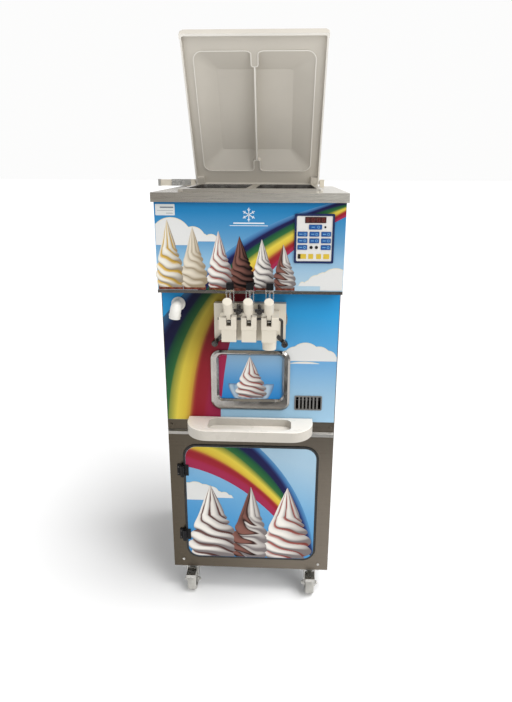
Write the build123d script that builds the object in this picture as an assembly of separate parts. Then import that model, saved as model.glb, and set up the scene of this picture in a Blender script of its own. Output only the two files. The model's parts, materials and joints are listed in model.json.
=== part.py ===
from build123d import *
import math
import os

# Floor-standing twin-flavour soft serve machine on castors, with its mix lid standing open.
# Working axes: X to the right of a person facing the machine, Y to the back, Z up from the
# floor, with X = 0 on the cabinet's centre plane and Y = 0 on the face of its front panels.
# write_nodes() then moves every piece so that the origin is under the middle of the outline.

# ---------------------------------------------------------------- driving dimensions (mm)
HALF_W = 270            # half the cabinet's width
BODY_D = 505            # cabinet depth behind the front panels
BODY_Z = 105            # underside of the cabinet, castors below it
LEDGE_Z = 622           # folded ledge across the front, under the drip tray
MIDDLE_Z = 674          # bottom of the dispensing panel
HEAD_Z = 1102           # underside of the projecting control head
HEAD_OUT = 45           # how far the control head stands out
DECK_Z = 1361           # underside of the top deck
DECK_T = 26             # depth of the deck's folded edge
DECK_HALF = 276
DECK_FRONT = -58
DECK_BACK = 517
SHEET = 2               # sheet metal thickness
TUBE = 25               # square frame tube
DECK_TOP = DECK_Z + DECK_T

# door
DOOR_HALF, DOOR_Z0, DOOR_Z1, DOOR_R = 225, 143, 586, 46   # the opening in the front frame
GASKET_GAP, GASKET_W = 1.5, 7
DOOR_FACE = -3                                            # door face, just proud of the frame
DOOR_PIN_X, DOOR_PIN_Y = -227, -11
DOOR_HINGE_Z = (240, 490)

# freezing cylinders and dispensing head
LANE = 57.5             # spacing of the three dispensing lanes
CYL_Z, CYL_R, CYL_BORE, CYL_END = 1015, 55, 48, 335
PLATE_HALF, PLATE_Z0, PLATE_Z1, PLATE_T = 108, 953, 1068, 25
BLOCK_OUT = 120         # front of the dispensing blocks
BLOCK_TOP, BLOCK_STEP, BLOCK_BOTTOM = 1049, 1011, 975
PIVOT_Y, PIVOT_Z, PIVOT_R = -100, 1040, 4
PISTON_Y, PISTON_R = -62, 12
HANDLE_TILT = 48        # degrees above level at rest
RUN = 0.05              # radial running clearance

# castors
CASTOR_X, CASTOR_FRONT, CASTOR_REAR = 209, 42, 455
WHEEL_R, WHEEL_W, TRAIL = 37.5, 30, 26

# lid
LID_HALF, LID_LEN, LID_T = 218.5, 508, 42
LID_Y, LID_Z = 450, 1401          # hinge axis
LID_OPEN = 58                     # degrees from closed, as it stands
LID_DROP = 13                     # hinge axis above the closed lid's edge
LID_RIM = 3                       # width and height of the rims round the pockets
POCKET_OUT = 184                     # outer side of each pocket's mouth
POCKET_NEAR, POCKET_FAR = -50, 57 - LID_LEN
POCKET_SLOPE = 65                    # how far the pocket's walls lean in
STAY_X, STAY_Y, STAY_Z = -304.6, 472, 1399
STAY_END = -363

# drip tray
TRAY_HALF, TRAY_OUT, TRAY_TOP, TRAY_DROP = 198, 112, 688, 33

# control panel
PANEL_X, PANEL_Z, PANEL_W, PANEL_H = 183, 1262, 112, 138
KEY_W, KEY_H, KEY_PITCH_X, KEY_ROWS = 27.5, 13.5, 33, (1275, 1256.5, 1238)
KEY_PROUD, KEY_TRAVEL = 1.6, 0.8



# ---------------------------------------------------------------- helpers
def block(x0, x1, y0, y1, z0, z1):
    """A rectangular block between two corners."""
    centre = Pos((x0 + x1) / 2, (y0 + y1) / 2, (z0 + z1) / 2)
    return centre * Box(abs(x1 - x0), abs(y1 - y0), abs(z1 - z0))


def rod_x(x0, x1, y, z, r):
    return Pos((x0 + x1) / 2, y, z) * Rot(0, 90, 0) * Cylinder(r, abs(x1 - x0))


def rod_y(x, y0, y1, z, r):
    return Pos(x, (y0 + y1) / 2, z) * Rot(90, 0, 0) * Cylinder(r, abs(y1 - y0))


def rod_z(x, y, z0, z1, r):
    return Pos(x, y, (z0 + z1) / 2) * Cylinder(r, abs(z1 - z0))


def front_plate(x0, x1, z0, z1, r, y0, y1):
    """A plate facing the front, with rounded corners."""
    face = Pos((x0 + x1) / 2, (z0 + z1) / 2) * RectangleRounded(x1 - x0, z1 - z0, r)
    return extrude(Plane.XZ.offset(-y1) * face, y1 - y0)


def flat_plate(x0, x1, y0, y1, r, z0, z1):
    """A level plate with rounded corners."""
    face = Pos((x0 + x1) / 2, (y0 + y1) / 2) * RectangleRounded(x1 - x0, y1 - y0, r)
    return extrude(Plane.XY.offset(z0) * face, z1 - z0)


def tube(x0, x1, y0, y1, z0, z1, along, wall=2):
    """A box-section tube, open at both ends of the axis it runs along."""
    grow = {"x": (0, wall, wall), "y": (wall, 0, wall), "z": (wall, wall, 0)}[along]
    dx, dy, dz = grow
    hollow = block(x0 + dx, x1 - dx, y0 + dy, y1 - dy, z0 + dz, z1 - dz)
    return block(x0, x1, y0, y1, z0, z1) - hollow


def write_nodes(nodes):
    """Write one file for each node, with the origin under the middle of the whole outline."""
    box = Compound([solid for solids in nodes.values() for solid in solids]).bounding_box()
    shift = Pos(-(box.min.X + box.max.X) / 2, -(box.min.Y + box.max.Y) / 2, -box.min.Z)
    print("moved by", shift.position)
    os.makedirs("parts", exist_ok=True)
    for name, solids in nodes.items():
        moved = [shift * solid for solid in solids]
        shape = moved[0] if len(moved) == 1 else Compound(moved)
        export_step(shape, f"parts/{name}.step")


# ---------------------------------------------------------------- cabinet
def cabinet_frame():
    """Welded tube frame with the floor pan and the motor shelf."""
    edge = HALF_W - SHEET
    front, back = 4, BODY_D - 4
    base_top = BODY_Z + TUBE
    pieces = [tube(-edge, edge, front, 82, BODY_Z, base_top, "x"),
              tube(-edge, edge, 419, back, BODY_Z, base_top, "x")]
    for side in (-1, 1):
        inner, outer = sorted((side * (edge - 2 * TUBE), side * edge))
        pieces.append(tube(inner, outer, 82, 419, BODY_Z, base_top, "y"))
    pan_z = base_top + SHEET
    pieces.append(block(-edge, edge, front, back, base_top, pan_z))
    for x in (-edge, edge - TUBE):
        for y in (front, back - TUBE):
            pieces.append(tube(x, x + TUBE, y, y + TUBE, pan_z, DECK_Z, "z"))
    shelf_z = 738
    for x in (-edge, edge - TUBE):
        pieces.append(tube(x, x + TUBE, front + TUBE, back - TUBE, shelf_z - TUBE, shelf_z, "y"))
    pieces.append(block(-edge, edge, front + TUBE, back - TUBE, shelf_z, shelf_z + SHEET))
    return pieces


def side_panel(side):
    """Flat stainless side sheet."""
    x0, x1 = sorted((side * (HALF_W - SHEET), side * HALF_W))
    return block(x0, x1, 0, BODY_D, BODY_Z, DECK_Z)


def rear_panel():
    """Back sheet with rows of louvre slots, and the mains cable gland without its cord."""
    edge = HALF_W - SHEET
    panel = block(-edge, edge, BODY_D - SHEET, BODY_D, BODY_Z, DECK_Z)
    slot_w, slot_h, pitch = 180, 7, 20
    for start, rows in ((190, 16), (1130, 8)):
        for x in (-115, 115):
            for row in range(rows):
                centre = Pos(x, start + row * pitch)
                slot = centre * RectangleRounded(slot_w, slot_h, slot_h / 2 - 0.01)
                panel -= extrude(Plane.XZ.offset(-BODY_D - 1) * slot, SHEET + 2)
    gland_x, gland_z, bore = -205, 150, 6.5
    panel -= rod_y(gland_x, BODY_D - SHEET - 1, BODY_D + 1, gland_z, 10)
    body = rod_y(gland_x, BODY_D - 12, BODY_D + 4, gland_z, 10)
    flats = Plane.XZ.offset(-BODY_D - 4) * (Pos(gland_x, gland_z) * RegularPolygon(14, 6))
    nut = extrude(flats, 4)
    cap = rod_y(gland_x, BODY_D + 4, BODY_D + 12, gland_z, 12)
    gland = body + nut + cap - rod_y(gland_x, BODY_D - 13, BODY_D + 13, gland_z, bore)
    return [panel, gland]


def lower_front_frame():
    """Stainless front of the lower cabinet, around the door opening."""
    frame = block(-HALF_W + SHEET, HALF_W - SHEET, 0, SHEET, BODY_Z, MIDDLE_Z)
    opening = front_plate(-DOOR_HALF, DOOR_HALF, DOOR_Z0, DOOR_Z1, DOOR_R, -1, SHEET + 1)
    return [frame - opening]


def tray_ledge():
    """Folded ledge across the front and the two arms that the drip tray hangs on."""
    profile = Polyline((0, LEDGE_Z), (-9, LEDGE_Z + 3), (-9, LEDGE_Z + 13), (0, LEDGE_Z + 17),
                       close=True)
    bar = extrude(Plane.YZ.offset(-HALF_W + SHEET) * make_face(profile), 2 * (HALF_W - SHEET))
    arms = [block(x - 7, x + 7, -62, 0, TRAY_TOP - 12, TRAY_TOP - 4) for x in (-168, 168)]
    return [bar, *arms]


def middle_front_panel():
    """Front panel behind the dispensing head, cut for cylinders, window, vent and elbow."""
    panel = block(-HALF_W + SHEET, HALF_W - SHEET, 0, SHEET, MIDDLE_Z, HEAD_Z)
    for x in (-LANE, LANE):
        panel -= rod_y(x, -1, SHEET + 1, CYL_Z, CYL_R)
    panel -= front_plate(-100, 100, 752, 898, 14, -1, SHEET + 1)
    panel -= front_plate(142, 225, 718, 763, 3, -1, SHEET + 1)
    return [panel]


def upper_front_cover():
    """Projecting control head: a folded pan with its bright lower trim."""
    edge = HALF_W
    face_y = -HEAD_OUT
    outer = block(-edge, edge, face_y, 0, HEAD_Z, DECK_Z)
    hollow = block(-edge + SHEET, edge - SHEET, face_y + SHEET, 1, HEAD_Z + SHEET, DECK_Z + 1)
    inset = 8
    cut = front_plate(PANEL_X - PANEL_W / 2 + inset, PANEL_X + PANEL_W / 2 - inset,
                      PANEL_Z - PANEL_H / 2 + inset, PANEL_Z + PANEL_H / 2 - inset, 3,
                      face_y - 1, face_y + SHEET + 1)
    trim = block(-edge, edge, face_y - 2, face_y, HEAD_Z, HEAD_Z + 9)
    return [outer - hollow - cut, trim]


def top_deck():
    """Deck with folded edges and a raised collar round the two hopper mouths."""
    deck = block(-DECK_HALF, DECK_HALF, DECK_FRONT, DECK_BACK, DECK_Z, DECK_TOP)
    deck -= block(-DECK_HALF + SHEET, DECK_HALF - SHEET, DECK_FRONT + SHEET,
                  DECK_BACK - SHEET, DECK_Z - 1, DECK_TOP - SHEET)
    deck += flat_plate(-205, 205, -40, 420, 22, DECK_TOP, DECK_TOP + 9)
    for x in (-101, 101):
        deck -= flat_plate(x - 89, x + 89, 10, 390, 20, DECK_Z, DECK_TOP + 10)
    return [deck]


def mix_hoppers():
    """Two stainless mix tanks hanging in the deck, each with an outlet to its cylinder."""
    pieces = []
    top, floor, wall = DECK_TOP + 9, 1195, 2
    for side in (-1, 1):
        x = side * 101
        tank = flat_plate(x - 89, x + 89, 10, 390, 20, floor, top)
        tank -= flat_plate(x - 87, x + 87, 12, 388, 18, floor + wall, top + 1)
        outlet_x = side * LANE
        tank += rod_z(outlet_x, 70, CYL_Z + CYL_BORE + 1, floor + wall, 14)
        tank -= rod_z(outlet_x, 70, CYL_Z + CYL_BORE, floor + wall + 1, 10)
        pieces.append(tank)
    return pieces


# ---------------------------------------------------------------- works inside
def freezing_cylinders():
    """Two insulated freezing cylinders, open at the front, with shaft holes behind."""
    pieces = []
    for x in (-LANE, LANE):
        barrel = rod_y(x, 0, CYL_END, CYL_Z, CYL_R)
        barrel -= rod_y(x, -1, CYL_END - 14, CYL_Z, CYL_BORE)
        barrel -= rod_y(x, CYL_END - 15, CYL_END + 1, CYL_Z, 9 + RUN)
        barrel -= rod_z(x, 70, CYL_Z + 40, CYL_Z + CYL_R + 1, 14)
        pieces.append(barrel)
    return pieces


def beater(x):
    """Scraper shaft: end rings, three scraper blades and the drive shaft."""
    start, end = 8, CYL_END - 20
    shaft = rod_y(x, start, CYL_END + 30, CYL_Z, 9)
    for y in (start, end - 10):
        ring = rod_y(x, y, y + 8, CYL_Z, 42) - rod_y(x, y - 1, y + 9, CYL_Z, 34)
        shaft += ring
        for spoke in range(3):
            arm = Pos(0, 0, 21) * Box(10, 8, 34)
            shaft += Pos(x, y + 4, CYL_Z) * Rot(0, 120 * spoke, 0) * arm
    for blade in range(3):
        bar = Pos(0, (end - start) / 2, 41) * Box(9, end - start - 2, 11)
        shaft += Pos(x, start, CYL_Z) * Rot(0, 120 * blade, 0) * bar
    return [shaft]


def gear_reducer():
    """Twin-output reducer case standing on the motor shelf."""
    y0, y1 = CYL_END + 8, CYL_END + 88
    case = block(-100, 100, y0, y1, 950, 1080)
    neck = block(-70, 70, y0, y1, 770, 950)
    foot = block(-95, 95, y0 - 10, y1 + 10, 740, 770)
    case = case + neck + foot
    for x in (-LANE, LANE):
        case -= rod_y(x, y0 - 1, CYL_END + 31, CYL_Z, 9 + RUN)
    return [case]


def drive_motor():
    """Beater motor flanged to the front of the reducer, with cooling ribs."""
    y1 = CYL_END + 8
    y0 = y1 - 215
    motor = rod_y(0, y0, y1, 850, 62) + rod_y(0, y1 - 12, y1, 850, 74)
    for rib in range(24):
        fin = Pos(0, (y0 + y1) / 2, 850) * Rot(0, 15 * rib, 0) * Pos(0, 0, 64) * Box(3, 150, 10)
        motor += fin
    motor += block(-35, 35, y0 + 40, y1 - 60, 740, 800)
    return [motor]


def compressor():
    """Sealed compressor can on its foot plate."""
    x, y, base = 130, 330, BODY_Z + TUBE + SHEET
    can = rod_z(x, y, base + 14, base + 210, 88)
    can = fillet(can.edges().filter_by(GeomType.CIRCLE), 34)
    foot = flat_plate(x - 98, x + 98, y - 98, y + 98, 20, base, base + 6)
    posts = [rod_z(x + dx, y + dy, base + 6, base + 30, 9) for dx, dy in
             ((-58, 0), (58, 0), (0, -58), (0, 58))]
    for post in posts:
        can += post
    return [can, foot]


def condenser():
    """Finned condenser block behind the fan, between two tube plates."""
    x0, x1, y0, y1, z0, z1 = -235, 5, 425, 465, BODY_Z + TUBE + SHEET, 400
    pieces = [block(x0, x0 + 4, y0, y1, z0, z1), block(x1 - 4, x1, y0, y1, z0, z1)]
    core = block(x0 + 4, x1 - 4, y0 + 4, y1 - 4, z0, z1 - 6)
    for groove in range(12):
        x = x0 + 20 + groove * 18
        core -= block(x, x + 4, y0 + 3, y0 + 12, z0 + 10, z1)
    return pieces + [core]


def condenser_fan():
    """Fan blades on their hub."""
    x, y, z = -115, 385, 270
    fan = rod_y(x, y - 12, y + 12, z, 24)
    for blade in range(5):
        sweep = Pos(0, 0, 62) * Rot(0, 0, 28) * Box(46, 3, 84)
        fan += Pos(x, y, z) * Rot(0, 72 * blade, 0) * sweep
    fan -= rod_y(x, y - 13, y + 6, z, 6 + RUN)
    return [fan]


def fan_motor():
    """Small fan motor on a strap between the floor pan and the condenser."""
    x, y, z = -115, 385, 270
    motor = rod_y(x, y - 70, y - 20, z, 32) + rod_y(x, y - 20, y + 5, z, 6)
    strap = block(x - 12, x + 12, y - 66, y - 60, BODY_Z + TUBE + SHEET, z)
    foot = block(x - 12, x + 12, y - 90, y - 60, BODY_Z + TUBE + SHEET, BODY_Z + TUBE + SHEET + 4)
    return [motor + strap + foot]


def electrical_box():
    """Terminal box for contactors and the mains lead, on the right of the lower cabinet."""
    box = block(110, 240, 60, 180, 400, 600) - block(109, 238, 62, 178, 402, 598)
    lid = block(104, 110, 56, 184, 396, 604)
    return [box, lid, block(240, HALF_W - SHEET, 100, 140, 480, 520)]


# ---------------------------------------------------------------- controls
def control_bezel():
    """Control panel: dark frame, pale face with key pockets, display lens and lamp lenses."""
    y = -HEAD_OUT
    x0, x1 = PANEL_X - PANEL_W / 2, PANEL_X + PANEL_W / 2
    z0, z1 = PANEL_Z - PANEL_H / 2, PANEL_Z + PANEL_H / 2
    rim = front_plate(x0, x1, z0, z1, 4, y - 4, y)
    rim -= front_plate(x0 + 6, x1 - 6, z0 + 6, z1 - 6, 3, y - 5, y + 1)
    face = front_plate(x0 + 6, x1 - 6, z0 + 6, z1 - 6, 3, y - 2.5, y)
    for x, z, w in key_places():
        face -= front_plate(x - w / 2 - 0.3, x + w / 2 + 0.3, z - KEY_H / 2 - 0.3,
                            z + KEY_H / 2 + 0.3, 2.3, y - 3, y + 1)
    back = front_plate(x0 + 9, x1 - 9, z0 + 9, z1 - 9, 3, y + SHEET + 1, y + SHEET + 6)
    lens = front_plate(156, 215, 1305.5, 1322.5, 1.5, y - 3.5, y - 2.5)
    lamps = []
    for x, w in ((149.5, 24), (174.5, 14), (197, 14), (218.5, 17)):
        lamps.append(front_plate(x - w / 2, x + w / 2, 1205.5, 1219.5, 1.5, y - 3.2, y - 2.5))
    dots = [rod_y(x, y - 3.6, y - 2.5, z, r) for x, z, r in
            ((174.8, 1238, 4.5), (189.8, 1238, 4.5), (213, 1294.5, 3))]
    board = front_plate(x0 + 12, x1 - 12, z0 + 12, z1 - 12, 3, y + SHEET + 6, y + SHEET + 7.6)
    return [rim, face, back, lens, *lamps, *dots, board]


def key_places():
    """Centre and width of each key: one wide one on top, two full rows, and a row of two."""
    places = [(185.5, 1294.5, 36.5)]
    for z in KEY_ROWS:
        for column in (-1, 0, 1):
            if z == KEY_ROWS[-1] and column == 0:
                continue
            places.append((PANEL_X + column * KEY_PITCH_X, z, KEY_W))
    return places


def control_key(x, z, w):
    """One key cap with a softened front edge, standing on its switch."""
    y = -HEAD_OUT
    cap = front_plate(x - w / 2, x + w / 2, z - KEY_H / 2, z + KEY_H / 2, 2, y - 2.5 - KEY_PROUD,
                      y + SHEET)
    front = cap.faces().sort_by(Axis.Y)[0]
    return [fillet(front.edges(), 0.6)]


# ---------------------------------------------------------------- front fittings
def window_bezel():
    """Pressed bright frame around the picture pane."""
    outer = front_plate(-124, 124, 715, 914, 30, -12, 0)
    inner = front_plate(-100, 100, 752, 898, 14, -13, 1)
    ring = outer - inner
    rim = ring.faces().sort_by(Axis.Y)[0]
    ring = chamfer(rim.edges(), 6, 7)
    pane = front_plate(-99.5, 99.5, 752.5, 897.5, 13, -2, 1.5)
    return [ring, pane]


def vent_grille():
    """Slotted air vent with upright bars."""
    x0, x1, z0, z1 = 140, 227, 716, 765
    frame = front_plate(x0, x1, z0, z1, 4, -2.5, 0) - block(x0 + 4, x1 - 4, -3, 1, z0 + 4, z1 - 4)
    bars = 7
    pitch = (x1 - x0 - 8) / bars
    for bar in range(1, bars):
        x = x0 + 4 + bar * pitch
        frame += block(x - 2.6, x + 2.6, -2, 0, z0 + 3, z1 - 3)
    return [frame]


def rinse_elbow():
    """White water outlet: flange, short neck and an elbow turned down."""
    x, z, tilt = -219, 1059, 9
    flange = rod_y(x, -6, 0, z, 21)
    nut = rod_y(x, -14, -6, z, 18)
    bend_r, reach, drop = 20, 24, 16
    path = Plane.YZ.offset(x) * Line((-14, z), (-reach, z))
    path += Plane.YZ.offset(x) * RadiusArc((-reach, z), (-reach - bend_r, z - bend_r), -bend_r)
    end = z - bend_r - drop
    path += Plane.YZ.offset(x) * Line((-reach - bend_r, z - bend_r), (-reach - bend_r, end))
    start = Plane(origin=(x, -14, z), z_dir=(0, -1, 0))
    pipe = sweep(start * Circle(16.5), path=path)
    pipe -= rod_z(x, -reach - bend_r, end - 1, z - bend_r, 12.5)
    ring = rod_z(x, -reach - bend_r, end + 8, end + 13, 18) - rod_z(
        x, -reach - bend_r, end + 7, end + 14, 12.5)
    pipe += ring
    turned = Pos(x, 0, z) * Rot(0, tilt, 0) * Pos(-x, 0, -z) * pipe
    return [flange + nut, turned]


def dispensing_head():
    """White head casting: back plate, three stepped blocks with lever slots, and the cup."""
    corners = 5
    plate = front_plate(-PLATE_HALF, PLATE_HALF, PLATE_Z0, PLATE_Z1, 2, -PLATE_T, 0)
    for side in (-1, 1):
        wedge = Pos(side * PLATE_HALF, -PLATE_T / 2, PLATE_Z0) * Rot(0, 45, 0)
        plate -= wedge * Box(2 * corners, PLATE_T + 2, 2 * corners)
    head = plate
    for lane in (-1, 0, 1):
        x = lane * LANE + 2
        half = 22
        outer = 6 * lane
        x0, x1 = x - half + min(outer, 0), x + half + max(outer, 0)
        top = block(x0, x1, -BLOCK_OUT, -PLATE_T, BLOCK_STEP, BLOCK_TOP)
        front_edge = top.edges().filter_by(Axis.X).group_by(Axis.Y)[0]
        top = fillet(front_edge, 3)
        low = block(x - half + 1, x + half - 1, -BLOCK_OUT + 3, -PLATE_T, BLOCK_BOTTOM, BLOCK_STEP)
        nozzle = rod_z(x, PISTON_Y, BLOCK_BOTTOM - 4, BLOCK_BOTTOM, 15)
        head += top + low + nozzle
    head += block(-LANE, LANE + 2, -BLOCK_OUT + 34, -PLATE_T, BLOCK_BOTTOM + 2, BLOCK_TOP - 4)
    for lane in (-1, 0, 1):
        x = lane * LANE + 2
        head -= block(x - 7, x + 7, -BLOCK_OUT - 1, PIVOT_Y + 18, PIVOT_Z - 17, BLOCK_TOP + 1)
        head -= rod_z(x, PISTON_Y, BLOCK_BOTTOM - 5, BLOCK_TOP + 1, PISTON_R + RUN)
    for x in (-LANE, LANE):
        head -= rod_y(x, PISTON_Y, 1, CYL_Z - 24, 6)
    head -= rod_x(-100, 100, PIVOT_Y, PIVOT_Z, PIVOT_R)
    cup_x = LANE + 2
    cup_top = BLOCK_BOTTOM - 4
    cup = Pos(cup_x, PISTON_Y, cup_top - 16) * Cone(20, 22, 32)
    cup -= Pos(cup_x, PISTON_Y, cup_top - 19) * Cone(16, 17.5, 33)
    cup -= rod_z(cup_x, PISTON_Y, cup_top - 6, cup_top + 1, 11)
    return [head, cup]


def lever_pivot_rod():
    """Pivot rod through the three blocks, bent down at its right end into a clip."""
    right = 96
    bend = 8
    path = Plane.XZ.offset(-PIVOT_Y) * Line((-88, PIVOT_Z), (right - bend, PIVOT_Z))
    path += Plane.XZ.offset(-PIVOT_Y) * RadiusArc(
        (right - bend, PIVOT_Z), (right, PIVOT_Z - bend), bend)
    path += Plane.XZ.offset(-PIVOT_Y) * Line((right, PIVOT_Z - bend), (right, PIVOT_Z - 56))
    start = Plane(origin=(-88, PIVOT_Y, PIVOT_Z), z_dir=(1, 0, 0))
    return [sweep(start * Circle(PIVOT_R - 0.02), path=path)]


def head_hand_nuts():
    """Four hand nuts on studs that hold the head: two between the levers, two low down."""
    pieces = []
    nut_z = PLATE_Z1 - 9
    for x in (-LANE / 2 - 1, LANE / 2 + 2):
        stud = rod_y(x, -96, -PLATE_T, nut_z, 4)
        nut = rod_y(x, -92, -78, nut_z, 9)
        wings = block(x - 13, x + 13, -90, -82, nut_z - 3, nut_z + 5)
        crest = rod_z(x, -86, nut_z + 5, nut_z + 20, 5)
        crest = fillet(crest.edges().group_by(Axis.Z)[-1], 3)
        pieces.append(stud + nut + wings + crest)
    for side in (-1, 1):
        x, z = side * 105, 948
        arm = Pos(side * 94, -PLATE_T - 3, 958) * Rot(0, side * 45, 0) * Box(32, 6, 12)
        stud = rod_y(x, -54, -PLATE_T - 3, z, 4)
        knob = rod_y(x, -52, -PLATE_T - 8, z, 10)
        front = knob.faces().sort_by(Axis.Y)[0]
        knob = fillet(front.edges(), 4)
        pieces.append(arm + stud + knob)
    return pieces


def handle(lane):
    """Draw lever: slotted hub on the pivot rod and a round white handle rising forward."""
    x = lane * LANE + 2
    hub = rod_x(x - 6, x + 6, PIVOT_Y, PIVOT_Z, 13)
    neck = Pos(0, -24, 0) * Box(12, 36, 20)
    grip = Pos(0, -61, 0) * Rot(90, 0, 0) * Cylinder(13.4, 50)
    tip = grip.faces().sort_by(Axis.Y)[0]
    grip = fillet(tip.edges(), 2.5)
    arm = Pos(x, PIVOT_Y, PIVOT_Z) * Rot(-HANDLE_TILT, 0, 0) * (neck + grip)
    lever = hub + arm
    lever -= rod_x(x - 20, x + 20, PIVOT_Y, PIVOT_Z, PIVOT_R + RUN)
    return [lever]


def piston(lane):
    """Draw plunger with its clear guide fork and black cap."""
    x = lane * LANE + 2
    plunger = rod_z(x, PISTON_Y, BLOCK_BOTTOM - 2, BLOCK_TOP + 8, PISTON_R)
    post = block(x - 3, x + 3, PISTON_Y - 3, PISTON_Y + 3, BLOCK_TOP + 8, 1118)
    fork = block(x - 12, x + 12, PISTON_Y - 7, PISTON_Y + 7, BLOCK_TOP + 8, 1118)
    fork -= block(x - 9, x + 9, PISTON_Y - 8, PISTON_Y + 8, BLOCK_TOP + 14, 1112)
    cap = block(x - 10.5, x + 10.5, PISTON_Y - 9, PISTON_Y + 9, 1118, 1137)
    cap = fillet(cap.edges().filter_by(Axis.Z), 2)
    return [plunger, fork + post, cap]


def drip_tray():
    """Moulded drip tray: D-shaped top with a basin and a skirt, open underneath."""
    def outline(inset):
        half, out, flat = TRAY_HALF - inset, -TRAY_OUT + inset, 128 - inset / 2
        back = -3 - inset
        side = -34
        lines = Line((flat, out), (-flat, out))
        lines += EllipticalCenterArc((-flat, side), half - flat, side - out, 180,
                                     arc_size=90)
        lines += Line((-half, side), (-half, back))
        lines += Line((-half, back), (half, back))
        lines += Line((half, back), (half, side))
        lines += EllipticalCenterArc((flat, side), half - flat, side - out, 270,
                                     arc_size=90)
        return make_face(lines)
    bottom = TRAY_TOP - TRAY_DROP
    wall = 3
    tray = extrude(Plane.XY.offset(bottom) * outline(0), TRAY_DROP)
    rim = tray.faces().sort_by(Axis.Z)[-1]
    tray = fillet(rim.edges(), 2)
    under = extrude(Plane.XY.offset(bottom - 1) * outline(wall), TRAY_DROP - wall)
    tray -= under
    basin_depth = 24
    basin_wall = flat_plate(-133, 133, -98, -14, 26, TRAY_TOP - basin_depth - wall, TRAY_TOP - 2)
    tray += basin_wall
    tray -= flat_plate(-130, 130, -95, -17, 23, TRAY_TOP - basin_depth, TRAY_TOP + 1)
    for x in (-168, 168):
        tray -= block(x - 8, x + 8, -64, -2, bottom - 1, TRAY_TOP - 3.5)
    return [tray]


# ---------------------------------------------------------------- door
def door():
    """Lower door: face sheet, shallow back tray and two knuckle straps."""
    gap = GASKET_GAP + GASKET_W
    x, z0, z1 = DOOR_HALF - gap, DOOR_Z0 + gap, DOOR_Z1 - gap
    face = front_plate(-x, x, z0, z1, DOOR_R - gap, DOOR_FACE, 4)
    tray = front_plate(-x + 6, x - 6, z0 + 6, z1 - 6, DOOR_R - gap - 6, 4, 18)
    panel = face + tray
    panel -= front_plate(-x + 8, x - 8, z0 + 8, z1 - 8, DOOR_R - gap - 8, DOOR_FACE + SHEET, 17)
    straps = []
    for z in DOOR_HINGE_Z:
        strap = block(DOOR_PIN_X, DOOR_PIN_X + 20, DOOR_FACE - 3, DOOR_FACE, z - 20, z + 20)
        knuckle = rod_z(DOOR_PIN_X, DOOR_PIN_Y, z - 6.7, z + 6.7, 7)
        web = block(DOOR_PIN_X, DOOR_PIN_X + 7, DOOR_PIN_Y, DOOR_FACE - 3, z - 6.7, z + 6.7)
        leaf = strap + web + knuckle
        for z0, z1 in ((z - 21, z - 6.7), (z + 6.7, z + 21)):
            leaf -= block(DOOR_PIN_X - 9, DOOR_PIN_X + 7.5, DOOR_PIN_Y - 8, 1, z0, z1)
        leaf -= rod_z(DOOR_PIN_X, DOOR_PIN_Y, z - 22, z + 22, 3 + RUN)
        straps.append(leaf)
    return [panel, *straps]


def door_gasket():
    """Black seal round the door's edge."""
    x, z0, z1 = DOOR_HALF - GASKET_GAP, DOOR_Z0 + GASKET_GAP, DOOR_Z1 - GASKET_GAP
    ring = front_plate(-x, x, z0, z1, DOOR_R - GASKET_GAP, DOOR_FACE, 3.5)
    w = GASKET_W
    ring -= front_plate(-x + w, x - w, z0 + w, z1 - w, DOOR_R - GASKET_GAP - w, -9, 9)
    return [ring]


def door_hinge_leaves():
    """Fixed leaves on the frame, with the hinge pins."""
    leaves = []
    for z in DOOR_HINGE_Z:
        leaf = block(DOOR_PIN_X - 18, DOOR_PIN_X - 4, -5, 0, z - 20, z + 20)
        for z0, z1 in ((z - 20, z - 7), (z + 7, z + 20)):
            leaf += rod_z(DOOR_PIN_X, DOOR_PIN_Y, z0, z1, 7)
            leaf += block(DOOR_PIN_X - 7, DOOR_PIN_X - 4, DOOR_PIN_Y, -4, z0, z1)
        leaf += rod_z(DOOR_PIN_X, DOOR_PIN_Y, z - 20, z + 20, 3)
        leaves.append(leaf)
    return leaves


# ---------------------------------------------------------------- lid
def lid():
    """Moulded lid, hinged at the back and standing open, with two rimmed pockets underneath."""
    low, high = -LID_DROP, LID_T - LID_DROP
    rear, front = 5, 5 - LID_LEN
    slab = flat_plate(-LID_HALF, LID_HALF, front, rear, 8, low, high)
    top = slab.faces().sort_by(Axis.Z)[-1]
    slab = fillet(top.edges(), 6)
    slab += flat_plate(-LID_HALF - 2, LID_HALF + 2, front - 2, front + 14, 4, low, low + 24)
    lip, lip_depth = 5, 12
    slab -= flat_plate(-LID_HALF + lip, LID_HALF - lip, front + lip, rear - lip, 6, low - 1,
                       low + lip_depth)
    land = low + lip_depth
    for side in (-1, 1):
        mouth = lid_pocket_mouth(side)
        rim = offset(mouth, amount=LID_RIM)
        slab += extrude(Plane.XY.offset(land - LID_RIM) * rim, LID_RIM + 1)
    for side in (-1, 1):
        slab -= lid_pocket(side, land, high - 3)
    for x in (-201, 201):
        slab += block(x - 12, x + 12, -26, 0, low + 2, land)
    for side in (-1, 1):
        x0, x1 = sorted((side * (LID_HALF - 6), side * (LID_HALF + 17)))
        slab += rod_x(x0, x1, 0, 0, 5)
    placed = Pos(0, LID_Y, LID_Z) * Rot(-LID_OPEN, 0, 0) * slab
    return [placed]


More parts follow.
